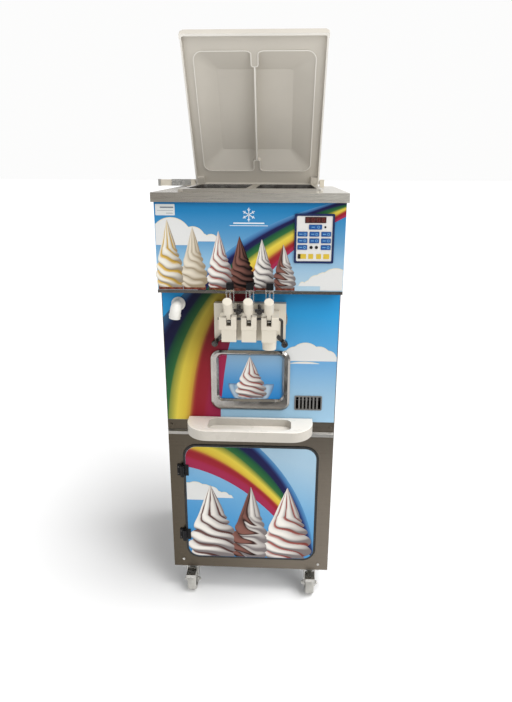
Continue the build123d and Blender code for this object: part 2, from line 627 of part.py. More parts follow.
def lid_pocket_mouth(side):
    """Outline of one pocket, stepped back at both ends where the land runs in between the two."""
    near, far = POCKET_NEAR, POCKET_FAR
    ridge, finger = LID_RIM - 0.5, 12
    mouth = RectangleRounded(POCKET_OUT - ridge, near - far, 26)
    mouth = Pos(side * (POCKET_OUT + ridge) / 2, (near + far) / 2) * mouth
    for y0, y1 in ((near - 42, near + 20), (far - 20, far + 46)):
        notch = RectangleRounded(2 * finger, y1 - y0, 8)
        mouth -= Pos(0, (y0 + y1) / 2) * notch
    corners = [v for v in mouth.vertices() if abs(abs(v.X) - finger) < 0.1
               and min(abs(v.Y - near), abs(v.Y - far)) < 20]
    return fillet(corners, 7)


def lid_pocket(side, land, floor):
    """A pocket that is steep along the ridge; its other walls slope in to a small flat floor."""
    mouth = lid_pocket_mouth(side)
    steep = extrude(Plane.XY.offset(land) * mouth, floor - land)
    middle = (POCKET_NEAR + POCKET_FAR) / 2
    length = POCKET_NEAR - POCKET_FAR
    past_ridge = 100
    wide = POCKET_OUT + past_ridge
    narrow = wide - POCKET_SLOPE
    upper = Pos(side * (POCKET_OUT - wide / 2), middle) * RectangleRounded(wide, length, 26)
    lower = Pos(side * (POCKET_OUT - POCKET_SLOPE - narrow / 2), middle) * RectangleRounded(
        narrow, length - 2 * POCKET_SLOPE, 8)
    sloped = loft([Plane.XY.offset(land) * upper, Plane.XY.offset(floor) * lower], ruled=True)
    return (steep & sloped) + extrude(Plane.XY.offset(land - LID_RIM - 1) * mouth, LID_RIM + 1)


def lid_hinge_blocks():
    """White bearing blocks bolted to the deck, one on each side of the lid."""
    blocks = []
    for side in (-1, 1):
        x0, x1 = sorted((side * (LID_HALF + 3), side * (LID_HALF + 19)))
        bearing = block(x0, x1, LID_Y - 14, LID_Y + 14, DECK_TOP, LID_Z + 10)
        bearing -= rod_x(x0 - 1, x1 + 1, LID_Y, LID_Z, 5 + RUN)
        blocks.append(bearing)
    return blocks


def stay_bracket():
    """Fixed channel of the lid stay, on a foot screwed to the deck."""
    x0, x1 = STAY_X - 8, -222
    y0, y1 = STAY_Y - 9, STAY_Y + 9
    z0, z1 = DECK_TOP + 1, DECK_TOP + 24
    channel = block(x0, x1, y0, y1, z0, z1) - block(x0 - 1, x0 + 34, y0 + 4, y1 - 4, z0 - 1, z1 + 1)
    channel -= block(x0 + 33, x1 - 8, y0 - 1, y0 + 4, z0 + 6, z1 - 6)
    foot = block(x1 - 44, x1, y0, y1 + 14, DECK_TOP, DECK_TOP + 1)
    pin = rod_y(STAY_X, y0 - 2, y1 + 2, STAY_Z, 3)
    return [channel + foot + pin]


def stay_arm():
    """Loose end of the lid stay, on a pin, with a ribbed grey tip."""
    arm = block(STAY_END + 10, STAY_X, STAY_Y - 4.6, STAY_Y + 4.6, STAY_Z - 11, STAY_Z + 11)
    arm += rod_y(STAY_X, STAY_Y - 4.6, STAY_Y + 4.6, STAY_Z, 11)
    arm -= rod_y(STAY_X, STAY_Y - 6, STAY_Y + 6, STAY_Z, 3 + RUN)
    tip = block(STAY_END, STAY_END + 10, STAY_Y - 7, STAY_Y + 7, STAY_Z - 12, STAY_Z + 12)
    for rib in range(5):
        z = STAY_Z - 8 + 4 * rib
        tip -= block(STAY_END - 1, STAY_END + 9, STAY_Y - 8, STAY_Y - 6, z - 0.9, z + 0.9)
    return [arm, tip]


# ---------------------------------------------------------------- castors and screws
def castor_places():
    return {"front_left": (-CASTOR_X, CASTOR_FRONT), "front_right": (CASTOR_X, CASTOR_FRONT),
            "rear_left": (-CASTOR_X, CASTOR_REAR), "rear_right": (CASTOR_X, CASTOR_REAR)}


def castor_plates():
    """Four castor top plates bolted under the frame, each with a socket for the stem."""
    plates = []
    for x, y in castor_places().values():
        plate = flat_plate(x - 36, x + 36, y - 36, y + 36, 6, BODY_Z - 6, BODY_Z)
        plate += rod_z(x, y, BODY_Z - 13, BODY_Z - 6, 22)
        plate -= rod_z(x, y, BODY_Z - 14, BODY_Z - 2, 6 + RUN)
        for dx in (-28, 28):
            for dy in (-28, 28):
                plate += rod_z(x + dx, y + dy, BODY_Z - 10, BODY_Z - 5, 5)
        plates.append(plate)
    return plates


def castor_fork(x, y):
    """Swivel fork with its stem and axle; the wheel trails towards the front."""
    axle_y = y - TRAIL
    crown_z = BODY_Z - 14
    crown = rod_z(x, y, crown_z - 5, crown_z, 27)
    stem = rod_z(x, y, crown_z, BODY_Z - 3, 6)
    fork = crown + stem
    for side in (-1, 1):
        inner, outer = sorted((x + side * 17, x + side * 20))
        cheek = Plane.YZ.offset(inner) * make_face(Polyline(
            (y + 18, crown_z), (y - 24, crown_z), (axle_y - 12, WHEEL_R - 6),
            (axle_y - 4, WHEEL_R - 12), (axle_y + 10, WHEEL_R - 8), close=True))
        fork += extrude(cheek, outer - inner)
        fork += rod_x(min(x + side * 16, x + side * 23), max(x + side * 16, x + side * 23), axle_y,
                      WHEEL_R, 8)
    axle = rod_x(x - 20, x + 20, axle_y, WHEEL_R, 5)
    return [fork + axle]


def castor_wheel(x, y):
    """Solid tyred wheel running on the fork's axle."""
    axle_y = y - TRAIL
    wheel = rod_x(x - WHEEL_W / 2, x + WHEEL_W / 2, axle_y, WHEEL_R, WHEEL_R)
    wheel = fillet(wheel.edges().filter_by(GeomType.CIRCLE), 5)
    for side in (-1, 1):
        x0, x1 = sorted((x + side * (WHEEL_W / 2 - 4), x + side * (WHEEL_W / 2 + 1)))
        wheel -= rod_x(x0, x1, axle_y, WHEEL_R, 24) - rod_x(x0, x1, axle_y, WHEEL_R, 11)
    wheel -= rod_x(x - WHEEL_W, x + WHEEL_W, axle_y, WHEEL_R, 5 + RUN)
    return [wheel]


def brake_pedal(x, y):
    """Black brake pedal over the front of the wheel, pivoting on the fork cheeks."""
    pin_y, pin_z = y - TRAIL - 4, 2 * WHEEL_R + 7
    bar = rod_x(x - 16, x + 16, pin_y, pin_z, 3.5)
    pad = block(x - 16, x + 16, pin_y - 42, pin_y, pin_z + 1, pin_z + 6)
    pad = fillet(pad.edges().filter_by(Axis.Z), 2)
    lip = block(x - 16, x + 16, pin_y - 42, pin_y - 36, pin_z - 6, pin_z + 3)
    return [bar + pad + lip]


def cabinet_screws():
    """Round-headed screws in the front panels and the sides."""
    screws = []
    places = [(-236, 134), (236, 128), (258, 655), (-258, 655)]
    for x, z in places:
        head = rod_y(x, -3, 0, z, 5)
        front = head.faces().sort_by(Axis.Y)[0]
        screws.append(fillet(front.edges(), 2))
    for side in (-1, 1):
        for y, z in ((60, 160), (440, 160), (60, 1300), (440, 1300), (60, 720), (440, 720)):
            x0, x1 = sorted((side * HALF_W, side * (HALF_W + 3)))
            screws.append(rod_x(x0, x1, y, z, 5))
    return screws


def build():
    nodes = {}

    def save(name, *pieces):
        nodes[name] = [solid for piece in pieces for solid in piece.solids()]

    save("cabinet_frame", *cabinet_frame())
    save("left_side_panel", side_panel(-1))
    save("right_side_panel", side_panel(1))
    save("rear_panel", *rear_panel())
    save("lower_front_frame", *lower_front_frame())
    save("tray_ledge", *tray_ledge())
    save("middle_front_panel", *middle_front_panel())
    save("upper_front_cover", *upper_front_cover())
    save("top_deck", *top_deck())
    save("mix_hoppers", *mix_hoppers())
    save("freezing_cylinders", *freezing_cylinders())
    save("gear_reducer", *gear_reducer())
    save("drive_motor", *drive_motor())
    save("compressor", *compressor())
    save("condenser_unit", *condenser(), *fan_motor())
    save("condenser_fan", *condenser_fan())
    save("electrical_box", *electrical_box())
    save("control_bezel", *control_bezel())
    for number, place in enumerate(key_places(), 1):
        save(f"control_key_{number}", *control_key(*place))
    save("window_bezel", *window_bezel())
    save("vent_grille", *vent_grille())
    save("rinse_elbow", *rinse_elbow())
    save("dispensing_head", *dispensing_head())
    save("lever_pivot_rod", *lever_pivot_rod())
    save("head_hand_nuts", *head_hand_nuts())
    for name, lane in (("left", -1), ("middle", 0), ("right", 1)):
        save(f"draw_lever_{name}", *handle(lane))
        save(f"draw_piston_{name}", *piston(lane))
    save("beater_left", *beater(-LANE))
    save("beater_right", *beater(LANE))
    save("drip_tray", *drip_tray())
    save("door", *door())
    save("door_gasket", *door_gasket())
    save("door_hinge_leaves", *door_hinge_leaves())
    save("lid", *lid())
    save("lid_hinge_hardware", *lid_hinge_blocks(), *stay_bracket())
    save("stay_arm", *stay_arm())
    save("castor_plates", *castor_plates())
    for name, (x, y) in castor_places().items():
        save(f"castor_fork_{name}", *castor_fork(x, y))
        save(f"castor_wheel_{name}", *castor_wheel(x, y))
        if name.startswith("front"):
            save(f"brake_pedal_{name}", *brake_pedal(x, y))
    save("cabinet_screws", *cabinet_screws())
    write_nodes(nodes)


build()
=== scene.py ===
"""Looks of the soft serve machine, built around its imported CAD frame.

Lengths are layout millimetres: X from the cabinet's middle, Y from the face of the front panels,
Z from the floor. at() turns them into the frame's metres.
"""
import json
import math

import bmesh
import bpy
import numpy as np
from mathutils import Matrix, Vector


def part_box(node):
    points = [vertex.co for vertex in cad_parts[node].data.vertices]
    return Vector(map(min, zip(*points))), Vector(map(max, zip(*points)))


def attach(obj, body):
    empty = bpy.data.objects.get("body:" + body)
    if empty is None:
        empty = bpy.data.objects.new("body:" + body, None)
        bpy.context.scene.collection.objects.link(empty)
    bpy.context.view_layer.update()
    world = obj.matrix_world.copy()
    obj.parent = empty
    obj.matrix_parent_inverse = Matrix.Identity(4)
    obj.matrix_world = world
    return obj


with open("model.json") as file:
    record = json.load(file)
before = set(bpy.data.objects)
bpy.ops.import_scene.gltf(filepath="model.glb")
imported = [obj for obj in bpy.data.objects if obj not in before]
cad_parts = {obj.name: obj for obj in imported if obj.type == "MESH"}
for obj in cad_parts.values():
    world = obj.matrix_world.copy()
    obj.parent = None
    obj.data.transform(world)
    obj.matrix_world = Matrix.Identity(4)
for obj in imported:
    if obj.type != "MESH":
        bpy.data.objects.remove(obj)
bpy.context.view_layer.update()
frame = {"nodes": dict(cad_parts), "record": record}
MM = 0.001

PANEL_LO, PANEL_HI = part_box("middle_front_panel")
MID_X = (PANEL_LO.x + PANEL_HI.x) / 2
FACE_Y = PANEL_LO.y


def at(x, y, z):
    """A point given in layout millimetres, in the frame's metres."""
    return Vector((MID_X + x * MM, FACE_Y + y * MM, z * MM))


def layout(point):
    """A frame point in layout millimetres."""
    return ((point.x - MID_X) / MM, (point.y - FACE_Y) / MM, point.z / MM)


def layout_box(node):
    """A CAD node's two corners in layout millimetres."""
    low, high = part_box(node)
    return layout(low), layout(high)


# ---------------------------------------------------------------- planes and edges of the print
TRIM_T = 2                                   # the bright trim stands this far in front
HEAD_Y = layout_box("upper_front_cover")[0][1] + TRIM_T
HEAD_X = layout_box("upper_front_cover")[1][0]
HEAD_Z0 = layout_box("upper_front_cover")[0][2] + 9
HEAD_Z1 = layout_box("upper_front_cover")[1][2]
MIDDLE_X = layout_box("middle_front_panel")[1][0]
MIDDLE_Z0 = layout_box("middle_front_panel")[0][2]
MIDDLE_Z1 = layout_box("middle_front_panel")[1][2]
GASKET_LO, GASKET_HI = layout_box("door_gasket")
GASKET_W = 7
DOOR_Y = GASKET_LO[1]
DOOR_X = GASKET_HI[0] - GASKET_W
DOOR_Z0, DOOR_Z1 = GASKET_LO[2] + GASKET_W, GASKET_HI[2] - GASKET_W
DOOR_R = 37.5
PANE_Y = -2
PANE_X, PANE_Z0, PANE_Z1 = 99.5, 752.5, 897.5
FILM = 0.25                                  # thickness of the printed film's layers


# ---------------------------------------------------------------- colour
FRONT_LIGHT = 1.18                           # how brightly the studio lights a front face


def linear(value):
    """One 0-255 display value as a linear one."""
    c = value / 255
    return c / 12.92 if c <= 0.04045 else ((c + 0.055) / 1.055) ** 2.4


def ink(r, g, b, light=FRONT_LIGHT):
    """A paint colour that shows as the given display colour under the front light."""
    return tuple(linear(c) / light for c in (r, g, b)) + (1.0,)


def mix(a, b, t):
    return tuple(p + (q - p) * t for p, q in zip(a, b))


def ramp(stops, value):
    """Colour at value on a list of (position, colour) stops."""
    if value <= stops[0][0]:
        return stops[0][1]
    for (p0, c0), (p1, c1) in zip(stops, stops[1:]):
        if value <= p1:
            return mix(c0, c1, (value - p0) / (p1 - p0))
    return stops[-1][1]


# ---------------------------------------------------------------- materials
class Nodes:
    """Small helper that adds and links nodes of one material."""

    def __init__(self, name):
        self.material = bpy.data.materials.new(name)
        self.material.use_nodes = True
        self.tree = self.material.node_tree
        self.shader = next(n for n in self.tree.nodes if n.type == "BSDF_PRINCIPLED")
        self.coordinates = self.tree.nodes.new("ShaderNodeTexCoord")

    def add(self, kind, **values):
        node = self.tree.nodes.new(kind)
        for key, value in values.items():
            if key in node.inputs:
                node.inputs[key].default_value = value
            else:
                setattr(node, key, value)
        return node

    def link(self, source, target):
        self.tree.links.new(source, target)

    def noise(self, scale, detail=3.0, stretch=(1, 1, 1)):
        mapping = self.add("ShaderNodeMapping")
        mapping.inputs["Scale"].default_value = stretch
        self.link(self.coordinates.outputs["Object"], mapping.inputs["Vector"])
        noise = self.add("ShaderNodeTexNoise", Scale=scale, Detail=detail)
        self.link(mapping.outputs["Vector"], noise.inputs["Vector"])
        return noise.outputs["Fac"]

    def spread(self, source, low, high, start=0.3, end=0.7):
        span = self.add("ShaderNodeMapRange")
        for key, value in (("From Min", start), ("From Max", end), ("To Min", low), ("To Max", high)):
            span.inputs[key].default_value = value
        self.link(source, span.inputs["Value"])
        return span.outputs["Result"]

    def colours(self, source, stops):
        node = self.add("ShaderNodeValToRGB")
        elements = node.color_ramp.elements
        while len(elements) < len(stops):
            elements.new(0.5)
        for element, (position, colour) in zip(elements, stops):
            element.position = position
            element.color = colour
        self.link(source, node.inputs["Fac"])
        return node.outputs["Color"]

    def bump(self, source, strength, distance):
        node = self.add("ShaderNodeBump", Strength=strength, Distance=distance)
        self.link(source, node.inputs["Height"])
        self.link(node.outputs["Normal"], self.shader.inputs["Normal"])

    def set(self, **values):
        for key, value in values.items():
            self.shader.inputs[key.replace("_", " ")].default_value = value


def darker(colour, share):
    return tuple(c * share for c in colour[:3]) + (1.0,)


def moulded(name, colour, rough=0.42, vary=0.05, grain=900, depth=0.00004, gloss=0.3):
    """Moulded plastic: slight mottling, uneven gloss and a fine grain."""
    n = Nodes(name)
    tint = n.colours(n.noise(7), [(0.3, darker(colour, 1 - vary)), (0.7, darker(colour, 1 + vary))])
    n.link(tint, n.shader.inputs["Base Color"])
    n.link(n.spread(n.noise(23), rough - 0.06, rough + 0.08), n.shader.inputs["Roughness"])
    n.bump(n.noise(grain, 2), 0.35, depth)
    n.set(Specular_IOR_Level=gloss)
    return n.material


def brushed(name, ends, rough=0.33, along=(6, 600, 900), vary=0.10, depth=0.00002):
    """Brushed sheet metal: fine lines along one direction, darker towards the left than the right; that
    left-to-right change is a painted reflection.
    """
    n = Nodes(name)
    lines = n.noise(1.0, 4, along)
    split = n.add("ShaderNodeSeparateXYZ")
    n.link(n.coordinates.outputs["Object"], split.inputs["Vector"])
    left, right = MID_X - HEAD_X * MM, MID_X + HEAD_X * MM
    across = n.spread(split.outputs["X"], 0, 1, left, right)
    # painted reflection: the colours at the two ends darken the left and lighten the right
    tint = n.colours(across, [(0.0, ends[0]), (1.0, ends[1])])
    patches = n.colours(n.noise(2.2), [(0.25, darker((1, 1, 1), 1 - vary)), (0.75, (1, 1, 1, 1))])
    shade = n.colours(lines, [(0.3, (0.86, 0.86, 0.86, 1)), (0.7, (1, 1, 1, 1))])
    for layer in (patches, shade):
        product = n.add("ShaderNodeMix", data_type="RGBA", blend_type="MULTIPLY")
        product.inputs["Factor"].default_value = 1.0
        n.link(tint, product.inputs["A"])
        n.link(layer, product.inputs["B"])
        tint = product.outputs["Result"]
    n.link(tint, n.shader.inputs["Base Color"])
    n.link(n.spread(lines, rough - 0.07, rough + 0.09), n.shader.inputs["Roughness"])
    n.bump(lines, 0.25, depth)
    n.set(Metallic=1.0)
    return n.material


def polished(name, colour, rough=0.12, vary=0.06):
    """Polished metal with faint smears."""
    n = Nodes(name)
    tint = n.colours(n.noise(14), [(0.3, darker(colour, 1 - vary)), (0.7, darker(colour, 1 + vary))])
    n.link(tint, n.shader.inputs["Base Color"])
    n.link(n.spread(n.noise(35, 5), rough - 0.04, rough + 0.10), n.shader.inputs["Roughness"])
    n.bump(n.noise(60), 0.05, 0.0002)
    n.set(Metallic=1.0)
    return n.material


def clear_plastic(name):
    """Clear acrylic with soft scuffs."""
    n = Nodes(name)
    tint = n.colours(n.noise(40), [(0.3, (0.86, 0.86, 0.83, 1)), (0.7, (0.97, 0.97, 0.95, 1))])
    n.link(tint, n.shader.inputs["Base Color"])
    n.link(n.spread(n.noise(90), 0.04, 0.22), n.shader.inputs["Roughness"])
    n.bump(n.noise(70), 0.08, 0.0004)
    n.set(Transmission_Weight=0.85, IOR=1.49)
    return n.material


def film_finish(n, rough=0.35):
    """Gloss, faint ripple and print grain shared by every printed surface."""
    n.link(n.spread(n.noise(30), rough - 0.06, rough + 0.10), n.shader.inputs["Roughness"])
    n.bump(n.noise(400, 2), 0.12, 0.00003)
    n.set(Specular_IOR_Level=0.12)
    return n.material


def grained(n, colour, amount=0.05):
    """Multiply a colour by fine print grain."""
    grain = n.colours(n.noise(700, 2), [(0.3, darker((1, 1, 1), 1 - amount)), (0.7, (1, 1, 1, 1))])
    product = n.add("ShaderNodeMix", data_type="RGBA", blend_type="MULTIPLY")
    product.inputs["Factor"].default_value = 1.0
    n.link(colour, product.inputs["A"])
    n.link(grain, product.inputs["B"])
    n.link(product.outputs["Result"], n.shader.inputs["Base Color"])


def sky_print(name, z0, z1, stops, lean=0.0):
    """Printed sky: blue that pales downwards, and sideways by lean. Stops run from bottom to top."""
    n = Nodes(name)
    split = n.add("ShaderNodeSeparateXYZ")
    n.link(n.coordinates.outputs["Object"], split.inputs["Vector"])
    across = n.add("ShaderNodeMath", operation="MULTIPLY_ADD")
    across.inputs[1].default_value = lean
    across.inputs[2].default_value = -lean * MID_X
    n.link(split.outputs["X"], across.inputs[0])
    height = n.add("ShaderNodeMath", operation="ADD")
    n.link(split.outputs["Z"], height.inputs[0])
    n.link(across.outputs["Value"], height.inputs[1])
    share = n.spread(height.outputs["Value"], 0, 1, z0 * MM, z1 * MM)
    grained(n, n.colours(share, stops), 0.06)
    return film_finish(n)


def printed_film(name):
    """Printed film whose colours are painted on the piece's points."""
    n = Nodes(name)
    print_colour = n.add("ShaderNodeAttribute", attribute_name="print")
    grained(n, print_colour.outputs["Color"], 0.05)
    return film_finish(n)


def tyre(name, colour):
    n = Nodes(name)
    tint = n.colours(n.noise(25, 5), [(0.3, darker(colour, 0.8)), (0.7, darker(colour, 1.12))])
    n.link(tint, n.shader.inputs["Base Color"])
    n.link(n.spread(n.noise(60), 0.5, 0.75), n.shader.inputs["Roughness"])
    n.bump(n.noise(350, 4), 0.4, 0.0001)
    return n.material


def finned(name, colour):
    """Condenser block: thin upright fins, drawn as a fine wave, with painted shade in the gaps between them.
    """
    n = Nodes(name)
    wave = n.add("ShaderNodeTexWave", Scale=140.0, Distortion=0.3)
    n.link(n.coordinates.outputs["Object"], wave.inputs["Vector"])
    # painted shade: the wave's troughs, the gaps between fins, darkened to 0.4 of the colour
    tint = n.colours(wave.outputs["Fac"], [(0.2, darker(colour, 0.4)), (0.6, colour)])
    n.link(tint, n.shader.inputs["Base Color"])
    n.link(n.spread(n.noise(50), 0.3, 0.5), n.shader.inputs["Roughness"])
    n.bump(wave.outputs["Fac"], 0.5, 0.0004)
    n.set(Metallic=1.0)
    return n.material


SKY_HEAD = [(0.0, ink(176, 203, 219)), (0.18, ink(163, 194, 215)), (0.36, ink(141, 183, 213)),
            (0.55, ink(100, 156, 197)), (0.72, ink(72, 142, 190)), (0.9, ink(36, 128, 184)),
            (1.0, ink(27, 122, 180))]
SKY_MIDDLE = [(0.0, ink(165, 203, 228)), (0.22, ink(152, 190, 216)), (0.45, ink(115, 169, 212)),
              (0.62, ink(84, 162, 214)), (0.82, ink(48, 156, 216)), (1.0, ink(34, 140, 203))]
SKY_DOOR = [(0.0, ink(58, 138, 196)), (0.3, ink(82, 152, 204)), (0.55, ink(112, 170, 212)),
            (0.8, ink(146, 186, 214)), (1.0, ink(166, 196, 216))]
SKY_PANE = [(0.0, ink(40, 130, 200)), (0.4, ink(78, 146, 200)), (0.8, ink(124, 168, 204)),
            (1.0, ink(138, 172, 200))]

M = {
    # Each brushed steel's two colours are its left and right ends: a painted reflection, darker on the left.
    "cabinet_steel": brushed("cabinet_steel", ((0.102, 0.084, 0.062, 1), (0.205, 0.177, 0.144, 1))),
    "deck_steel": brushed("deck_steel", ((0.46, 0.42, 0.365, 1), (0.86, 0.82, 0.74, 1)), 0.28),
    "ledge_steel": brushed("ledge_steel", ((0.40, 0.38, 0.35, 1), (0.62, 0.60, 0.57, 1)), 0.3),
    "frame_steel": moulded("frame_steel", (0.28, 0.29, 0.30, 1), 0.4),
    "bright_steel": polished("bright_steel", (0.43, 0.41, 0.385, 1), 0.16),
    "trim_steel": polished("trim_steel", (0.16, 0.145, 0.13, 1), 0.22),
    "zinc_steel": polished("zinc_steel", (0.52, 0.51, 0.48, 1), 0.25),
    "dark_metal": polished("dark_metal", (0.085, 0.08, 0.075, 1), 0.13),
    "fin_aluminium": finned("fin_aluminium", (0.6, 0.61, 0.62, 1)),
    "painted_castings": moulded("painted_castings", (0.16, 0.22, 0.30, 1), 0.35),
    "black_paint": moulded("black_paint", (0.015, 0.015, 0.016, 1), 0.3),
    "sky_head": sky_print("sky_head", HEAD_Z0, HEAD_Z1, SKY_HEAD),
    "sky_middle": sky_print("sky_middle", MIDDLE_Z0, MIDDLE_Z1, SKY_MIDDLE),
    "sky_door": sky_print("sky_door", DOOR_Z0, DOOR_Z1, SKY_DOOR, 0.35),
    "sky_pane": sky_print("sky_pane", PANE_Z0, PANE_Z1, SKY_PANE),
    "printed_panel": printed_film("printed_panel"),
    "panel_blue": moulded("panel_blue", ink(24, 40, 84), 0.3, 0.08),
    "panel_face": moulded("panel_face", ink(222, 220, 216), 0.38, 0.03),
    "display_lens": moulded("display_lens", ink(66, 28, 26), 0.2, 0.15, 300, 0.00001),
    "lamp_yellow": moulded("lamp_yellow", ink(208, 178, 56), 0.3, 0.12, 60),
    "lamp_off": moulded("lamp_off", ink(30, 28, 26), 0.25, 0.1),
    "key_blue": moulded("key_blue", ink(34, 84, 148), 0.28, 0.08),
    "key_mark": moulded("key_mark", ink(120, 178, 222), 0.3, 0.05),
    "display_digit": moulded("display_digit", ink(128, 52, 46), 0.3, 0.05),
    "white_plastic": moulded("white_plastic", ink(219, 211, 195), 0.34, 0.03, 700, 0.00003),
    "tray_plastic": moulded("tray_plastic", ink(198, 192, 182), 0.3, 0.03, 500, 0.00004),
    # painted light: a lighter copy of the tray plastic, for the tray's upward faces
    "tray_top": moulded("tray_top", ink(252, 246, 236), 0.3, 0.03, 500, 0.00004),
    "outlet_plastic": moulded("outlet_plastic", ink(228, 226, 220), 0.3, 0.03),
    "lid_plastic": moulded("lid_plastic", ink(210, 204, 193), 0.5, 0.03, 1100, 0.00005),
    # painted highlight: a lighter copy of the lid plastic, for the lid's edge and pocket rims
    "lid_edge": moulded("lid_edge", ink(240, 236, 228), 0.4, 0.03, 1100, 0.00005),
    "black_plastic": moulded("black_plastic", (0.008, 0.008, 0.009, 1), 0.4, 0.2, 900, 0.00004, 0.15),
    "vent_plastic": moulded("vent_plastic", ink(118, 116, 113), 0.4, 0.15),
    "black_rubber": tyre("black_rubber", (0.014, 0.014, 0.014, 1)),
    "castor_tyre": tyre("castor_tyre", (0.40, 0.39, 0.36, 1)),
    "grey_plastic": moulded("grey_plastic", (0.34, 0.33, 0.31, 1), 0.4),
    "clear_plastic": clear_plastic("clear_plastic"),
    "print_white": moulded("print_white", ink(226, 232, 236), 0.25, 0.02),
    "label_white": moulded("label_white", ink(214, 216, 214), 0.4, 0.03),
    "label_grey": moulded("label_grey", ink(120, 128, 136), 0.4, 0.05),
    # painted shade: near black, for the inside of the deck's slots
    "dark_gap": moulded("dark_gap", (0.01, 0.01, 0.01, 1), 0.6, 0.2),
}


# ---------------------------------------------------------------- places of details on the CAD nodes
LID_HINGE_Y, LID_HINGE_Z, LID_OPEN = 450, 1401, math.radians(58)
LID_LOW, LID_RIM_LOW = -13, -4               # heights of the lid's edge and rims, seen closed
LEVER_Y, LEVER_Z, LEVER_HUB_R = -100, 1040, 19
PLUNGER_Y = -62
FORK_Z = 1056.9                              # a plunger's clear fork starts here
CAP_Z, CAP_UNDER_Z, CAP_STEM_R = 1118.5, 1117.5, 7
LEDGE_SCREWS = (600, 700)                    # the screws between these heights are painted
GLAND_X, GLAND_Z, GLAND_R = -205, 150, 16
STAY_PLATE_X, HINGE_PIN_Y = -240, 480
STAY_TIP_X = -353.5
CASTOR_X, CASTOR_YS, CASTOR_TRAIL = 209, (42, 455), 26
AXLE_Z, HUB_R, HUB_HALF = 37.5, 24.5, 16.5


# ---------------------------------------------------------------- materials on the CAD nodes
def paint(node, first, *rules):
    """Give a CAD node its first material, and others where a rule's test of a face holds."""
    mesh = frame["nodes"][node].data
    mesh.materials.clear()
    mesh.materials.append(M[first])
    for name, _ in rules:
        mesh.materials.append(M[name])
    for face in mesh.polygons:
        x, y, z = layout(face.center)
        face.material_index = 0
        for number, (_, test) in enumerate(rules, 1):
            if test(x, y, z, face.normal):
                face.material_index = number


def paint_all():
    plain = {s["node"]: s["material_slot"] for s in frame["record"]["subparts"]}
    for node, slot in plain.items():
        paint(node, slot if slot in M else "cabinet_steel")
    skin = 0.4
    paint("upper_front_cover", "cabinet_steel",
          ("sky_head", lambda x, y, z, n: n.y < -0.9 and abs(y - HEAD_Y) < skin and z > HEAD_Z0 - 9),
          ("trim_steel", lambda x, y, z, n: y < HEAD_Y - 0.01))
    paint("middle_front_panel", "cabinet_steel",
          ("sky_middle", lambda x, y, z, n: n.y < -0.9 and abs(y) < skin))
    paint("door", "grey_plastic",
          ("sky_door", lambda x, y, z, n: n.y < -0.9 and abs(y - DOOR_Y) < skin),
          ("black_plastic", lambda x, y, z, n: y < DOOR_Y - 0.01 or x < -DOOR_X - 1))
    paint("window_bezel", "bright_steel", ("sky_pane", on_pane))
    # the tray's upward faces get the lighter copy, painted light from above
    paint("drip_tray", "tray_plastic", ("tray_top", lambda x, y, z, n: n.z > 0.5))
    paint("tray_ledge", "ledge_steel")
    paint("cabinet_screws", "zinc_steel",
          ("cabinet_steel", lambda x, y, z, n: LEDGE_SCREWS[0] < z < LEDGE_SCREWS[1]))
    # the lid's edge and pocket rims get the lighter copy, a painted highlight
    paint("lid", "lid_plastic", ("lid_edge", on_lid_edge))
    paint("lever_pivot_rod", "dark_metal")
    for side in ("left", "right"):
        paint(f"brake_pedal_front_{side}", "zinc_steel")
    paint("rinse_elbow", "outlet_plastic")
    paint("vent_grille", "vent_plastic")
    paint("rear_panel", "cabinet_steel",
          ("black_plastic", lambda x, y, z, n: math.hypot(x - GLAND_X, z - GLAND_Z) < GLAND_R))
    paint("lid_hinge_hardware", "white_plastic",
          ("zinc_steel", lambda x, y, z, n: x < STAY_PLATE_X or y > HINGE_PIN_Y))
    paint("stay_arm", "white_plastic", ("grey_plastic", lambda x, y, z, n: x < STAY_TIP_X))
    for side in ("left", "middle", "right"):
        paint(f"draw_lever_{side}", "white_plastic",
              ("dark_metal", lambda x, y, z, n: math.hypot(y - LEVER_Y, z - LEVER_Z) < LEVER_HUB_R))
        paint(f"draw_piston_{side}", "white_plastic", ("clear_plastic", lambda x, y, z, n: z > FORK_Z),
              ("black_plastic", on_plunger_cap))
    for castor in ("front_left", "front_right", "rear_left", "rear_right"):
        paint(f"castor_wheel_{castor}", "castor_tyre", ("zinc_steel", on_wheel_hub))
    paint_controls()


def on_pane(x, y, z, n):
    """Faces of the picture pane inside the window's bezel."""
    near = abs(x) < PANE_X + 0.1 and PANE_Z0 - 0.1 < z < PANE_Z1 + 0.1
    past_edge = abs(x) > PANE_X or z < PANE_Z0 or z > PANE_Z1
    return near and PANE_Y - 0.3 < y < 1.6 and not (y < -0.01 and past_edge)


def on_plunger_cap(x, y, z, n):
    """Faces of a plunger's black cap, with the flat under it round the stem."""
    under = z > CAP_UNDER_Z and n.z < -0.5 and abs(y - PLUNGER_Y) > CAP_STEM_R
    return z > CAP_Z or under


def on_lid_edge(x, y, z, n):
    """Faces of the lid's outer edge and of the rims round its pockets, which carry the painted highlight."""
    y, z = y - LID_HINGE_Y, z - LID_HINGE_Z
    above = y * math.sin(LID_OPEN) + z * math.cos(LID_OPEN)
    return abs(above - LID_LOW) < 0.3 or abs(above - LID_RIM_LOW) < 0.3


def on_wheel_hub(x, y, z, n):
    """Faces inside a castor wheel's rim."""
    for axle_y in (swivel_y - CASTOR_TRAIL for swivel_y in CASTOR_YS):
        if abs(y - axle_y) < 40:
            return math.hypot(y - axle_y, z - AXLE_Z) < HUB_R and abs(abs(x) - CASTOR_X) < HUB_HALF
    return False


LENS = (156, 215, 1305.5, 1322.5)
LAMPS = ((149.5, 24), (174.5, 14), (197, 14), (218.5, 17))
LAMP_Z = (1205.5, 1219.5)
DOTS = ((174.8, 1238, 4.5), (189.8, 1238, 4.5), (213, 1294.5, 3))


